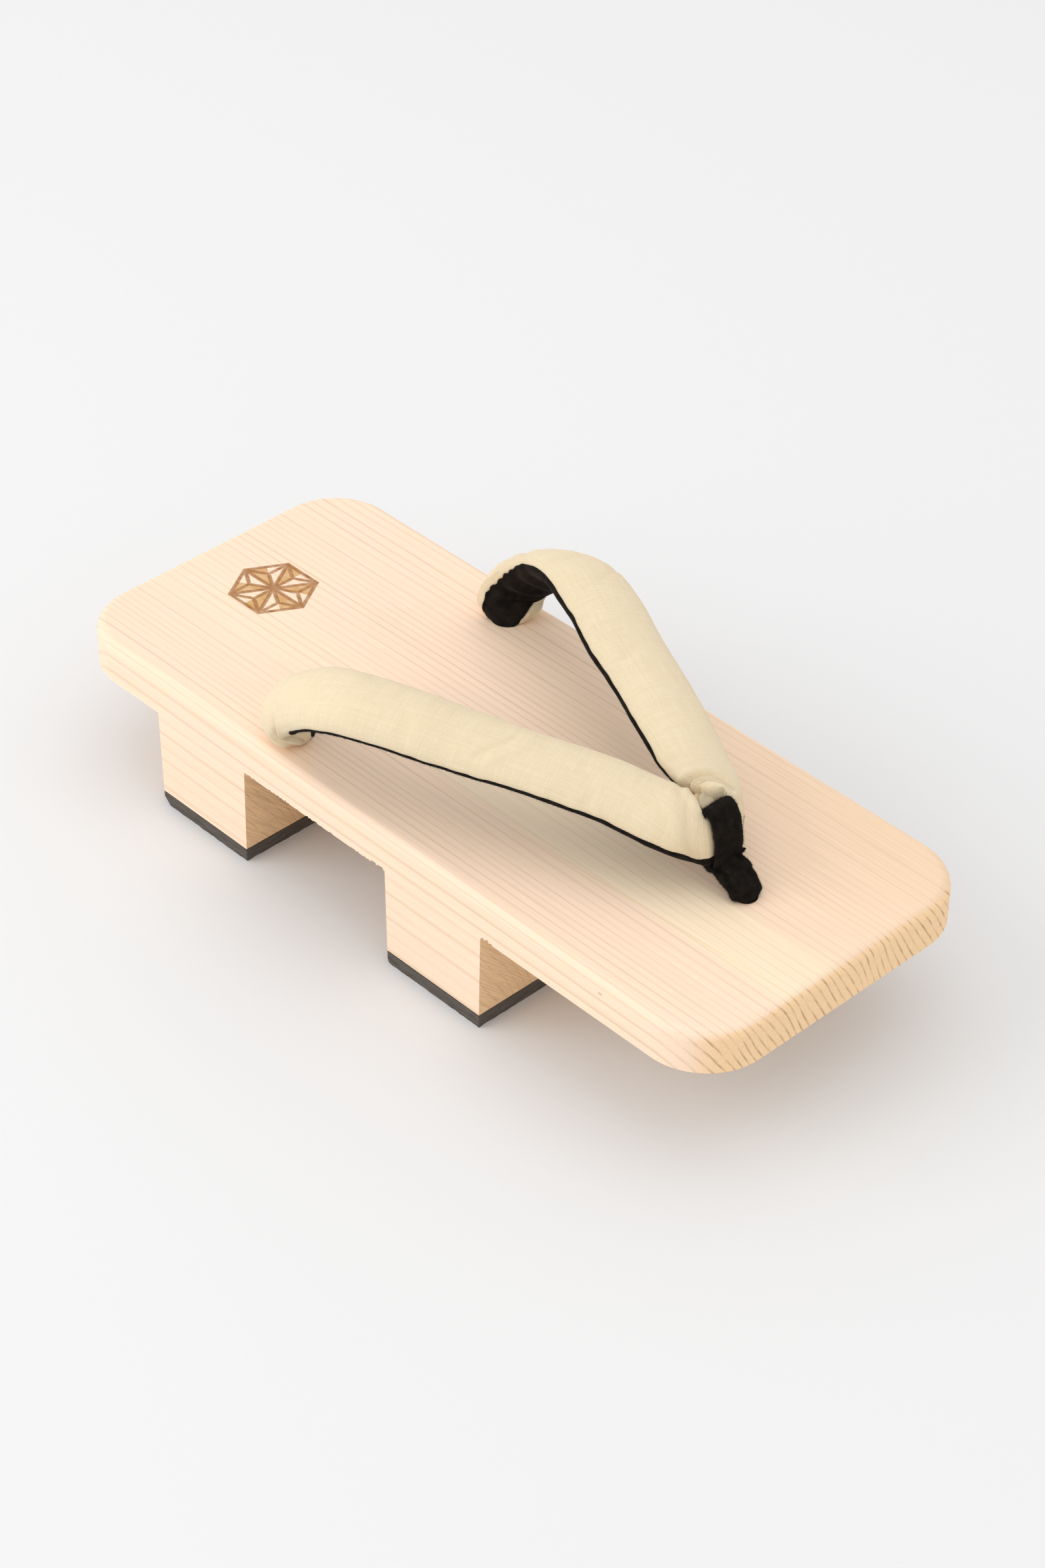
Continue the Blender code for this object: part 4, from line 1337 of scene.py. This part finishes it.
PER_SQUARE_MM = 1e6
grow_hairs("thong_hairs", thong.data.copy(), 22 * PER_SQUARE_MM, 0.75 * MM, 3)
lip_faces = [face.vertices[:] for face in lining.data.polygons[:-2]
             if face.index % (2 * LINING_POINTS) in LIP_COLUMNS]
lips = mesh_from([vertex.co for vertex in lining.data.vertices], lip_faces)
grow_hairs("lining_hairs", lips, 12 * PER_SQUARE_MM, 0.6 * MM, 5)

# %% [markdown]
# ## Rubber treads
# A sheet of dark rubber is glued under each tooth and cut flush with a knife, which leaves its lower
# edges a little ragged and the heel corner pared off. A plain box would be too clean, so each pad gets a
# fine grid, and the points near its lower edges are moved in by noise.

# %% The treads
TREAD_CELL = 1.1 * MM
HEEL_CHAMFER = 2.4 * MM
TREAD_WEAR = 0.35 * MM
TREAD_WAVE = 0.10 * MM
WEAR_HEIGHT = 1.6 * MM


def gridded(low, high):
    """A box between two corners, its faces cut into small cells, as a bmesh."""
    builder = block(low, high)
    for axis in range(3):
        size = high[axis] - low[axis]
        edges = [edge for edge in builder.edges
                 if abs(edge.verts[0].co[axis] - edge.verts[1].co[axis]) > size / 2]
        bmesh.ops.subdivide_edges(builder, edges=edges, cuts=max(4, round(size / TREAD_CELL)),
                                  use_grid_fill=True)
    return builder


def wear(place, below, shift):
    """How far a point of the rim is moved in: torn near its lower edge, and a little wavy higher up."""
    ragged = noise.noise(place / (2.2 * MM) + shift) + 0.6 * noise.noise(place / (0.8 * MM) + shift)
    wavy = TREAD_WAVE * noise.noise(place / (6 * MM) + shift)
    return TREAD_WEAR * below * max(0.0, 0.25 + 0.6 * ragged) + abs(wavy)


def make_tread(node_name, chamfer, seed):
    """A rubber pad in a CAD tread's box."""
    low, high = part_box(node_name)
    builder = gridded(low, high)
    middle = (low + high) / 2
    shift = Vector((seed, seed, 0))
    for vert in builder.verts:
        place = vert.co.copy()
        below = max(0.0, 1 - (place.z - low.z) / WEAR_HEIGHT)
        for axis in (0, 1):
            if min(place[axis] - low[axis], high[axis] - place[axis]) < 0.1 * MM:
                inward = 1 if place[axis] < middle[axis] else -1
                vert.co[axis] += inward * wear(place, below, shift)
        if chamfer and place.y - low.y < chamfer - (place.z - low.z):
            vert.co.y = low.y + chamfer - (place.z - low.z)
    tread = new_object("rubber_" + node_name, to_mesh(builder))
    smooth(tread.data, math.radians(30))
    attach(tread, "root")
    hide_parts(node_name)
    print(tread.name + ":", len(tread.data.polygons), "faces")
    return tread


treads = [make_tread("heel_tread", HEEL_CHAMFER, 3), make_tread("toe_tread", 0, 8)]

# %% Rubber
RUBBER_DARK = (0.062, 0.051, 0.042)
RUBBER_PALE = (0.114, 0.096, 0.081)
WOOD_DUST = (0.340, 0.280, 0.220)


def make_rubber():
    """Dark rubber sheet with a knife-cut edge and wood dust."""
    material, tree, shader = new_material("rubber")
    place = object_place(tree)
    streaks = scaled_noise(tree, place, 1.0, (160, 160, 1500), 3.0)
    grit = scaled_noise(tree, place, 2200.0, detail=2.0)
    color = mix_color(tree, remap(tree, streaks, 0.35, 0.68), RUBBER_DARK, RUBBER_PALE)
    dust = remap(tree, scaled_noise(tree, place, 900.0, detail=4.0), 0.66, 0.78)
    color = mix_color(tree, times(tree, dust, 0.5), color, WOOD_DUST)
    relief = maths(tree, "MULTIPLY_ADD", streaks, 1.2, grit)
    fill(shader, {"Base Color": color, "Roughness": 0.78, "Normal": bump(tree, relief, 0.12 * MM, 0.8)})
    return material


paint(make_rubber(), *treads)

# %% [markdown]
# ## Knots under the board
# Under the board the core cords end in knots that stop them from slipping out. A knot is a curve before
# it is a shape: each is a trefoil, the simplest closed knot, with a cord of two plies laid along it,
# flattened to the size of its solid, and a neck of cord that goes up the hole.

# %% The knots
CORD_RADIUS = 1.55 * MM
KNOT_HEIGHT = 7.0 * MM
KNOT_STEPS = 120
NECK_STEPS = 24
# How often a cord's two plies wind round each other in a knot and in its neck
KNOT_PLY_TURNS = 26
NECK_PLY_TURNS = 3
# How far the strands of a trefoil swing inward and up, and the mean distance from its middle
SWING = 0.34
MEAN_REACH = 0.66
NECK_RADII = {"knot_right": 3.6 * MM, "knot_left": 3.6 * MM, "knot_toe": 2.5 * MM}


def trefoil(share):
    """A point of a trefoil knot, in a box of about 2 by 2 by 1."""
    turn = 2 * math.pi * share
    wide = MEAN_REACH + SWING * math.cos(3 * turn)
    return Vector((wide * math.cos(2 * turn), wide * math.sin(2 * turn), SWING * math.sin(3 * turn)))


def twisted_cord(path, radius, closed, ply_turns, sides=14):
    """A cord of two plies along a path, as a mesh."""
    count = len(path)
    points = []
    side = None
    for number, place in enumerate(path):
        ahead = path[(number + 1) % count] if closed or number + 1 < count else place
        behind = path[number - 1] if closed or number else place
        along = (ahead - behind).normalized()
        side = along.orthogonal() if side is None else side - along * side.dot(along)
        side.normalize()
        over = along.cross(side)
        for step in range(sides):
            turn = 2 * math.pi * step / sides
            strand = 0.90 + 0.16 * abs(math.cos(turn - 2 * math.pi * ply_turns * number / count))
            points.append(place + (side * math.cos(turn) + over * math.sin(turn)) * radius * strand)
    return mesh_from(points, ring_faces(count, sides, closed))


def make_knot(node_name, neck_radius):
    """A trefoil in the lower part of a CAD knot's box, with its neck."""
    low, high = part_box(node_name)
    center = Vector(((low.x + high.x) / 2, (low.y + high.y) / 2, low.z + KNOT_HEIGHT / 2))
    reach = (high.x - low.x) / 2 - CORD_RADIUS
    tall = (KNOT_HEIGHT / 2 - CORD_RADIUS) / SWING
    loops = [trefoil(step / KNOT_STEPS) for step in range(KNOT_STEPS)]
    path = [center + Vector((point.x * reach, point.y * reach, point.z * tall)) for point in loops]
    neck = [Vector((center.x, center.y, z)) for z in np.linspace(center.z, high.z, NECK_STEPS)]
    cords = from_mesh(twisted_cord(path, CORD_RADIUS, True, KNOT_PLY_TURNS),
                      twisted_cord(neck, neck_radius, False, NECK_PLY_TURNS))
    knot = new_object("cord_" + node_name, to_mesh(cords))
    smooth(knot.data, math.radians(70))
    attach(knot, "root")
    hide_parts(node_name)
    return knot


knots = [make_knot(name, radius) for name, radius in NECK_RADII.items()]

# %% Cotton cord
CORD_PALE = (0.660, 0.570, 0.430)
CORD_WORN = (0.520, 0.430, 0.310)
CORD_FIBRE = (0.400, 0.320, 0.220)


def make_cord():
    """Natural cotton cord."""
    material, tree, shader = new_material("cotton_cord")
    place = object_place(tree)
    fibre = scaled_noise(tree, place, 1800.0, detail=3.0)
    worn = scaled_noise(tree, place, 260.0, detail=2.0)
    color = mix_color(tree, remap(tree, worn, 0.35, 0.65), CORD_PALE, CORD_WORN)
    color = mix_color(tree, remap(tree, fibre, 0.45, 0.7, 0.0, 0.5), color, CORD_FIBRE)
    fill(shader, {"Base Color": color, "Roughness": 0.9, "Normal": bump(tree, fibre, 0.12 * MM, 0.8)})
    return material


paint(make_cord(), *knots)
print("treads and knots ready")
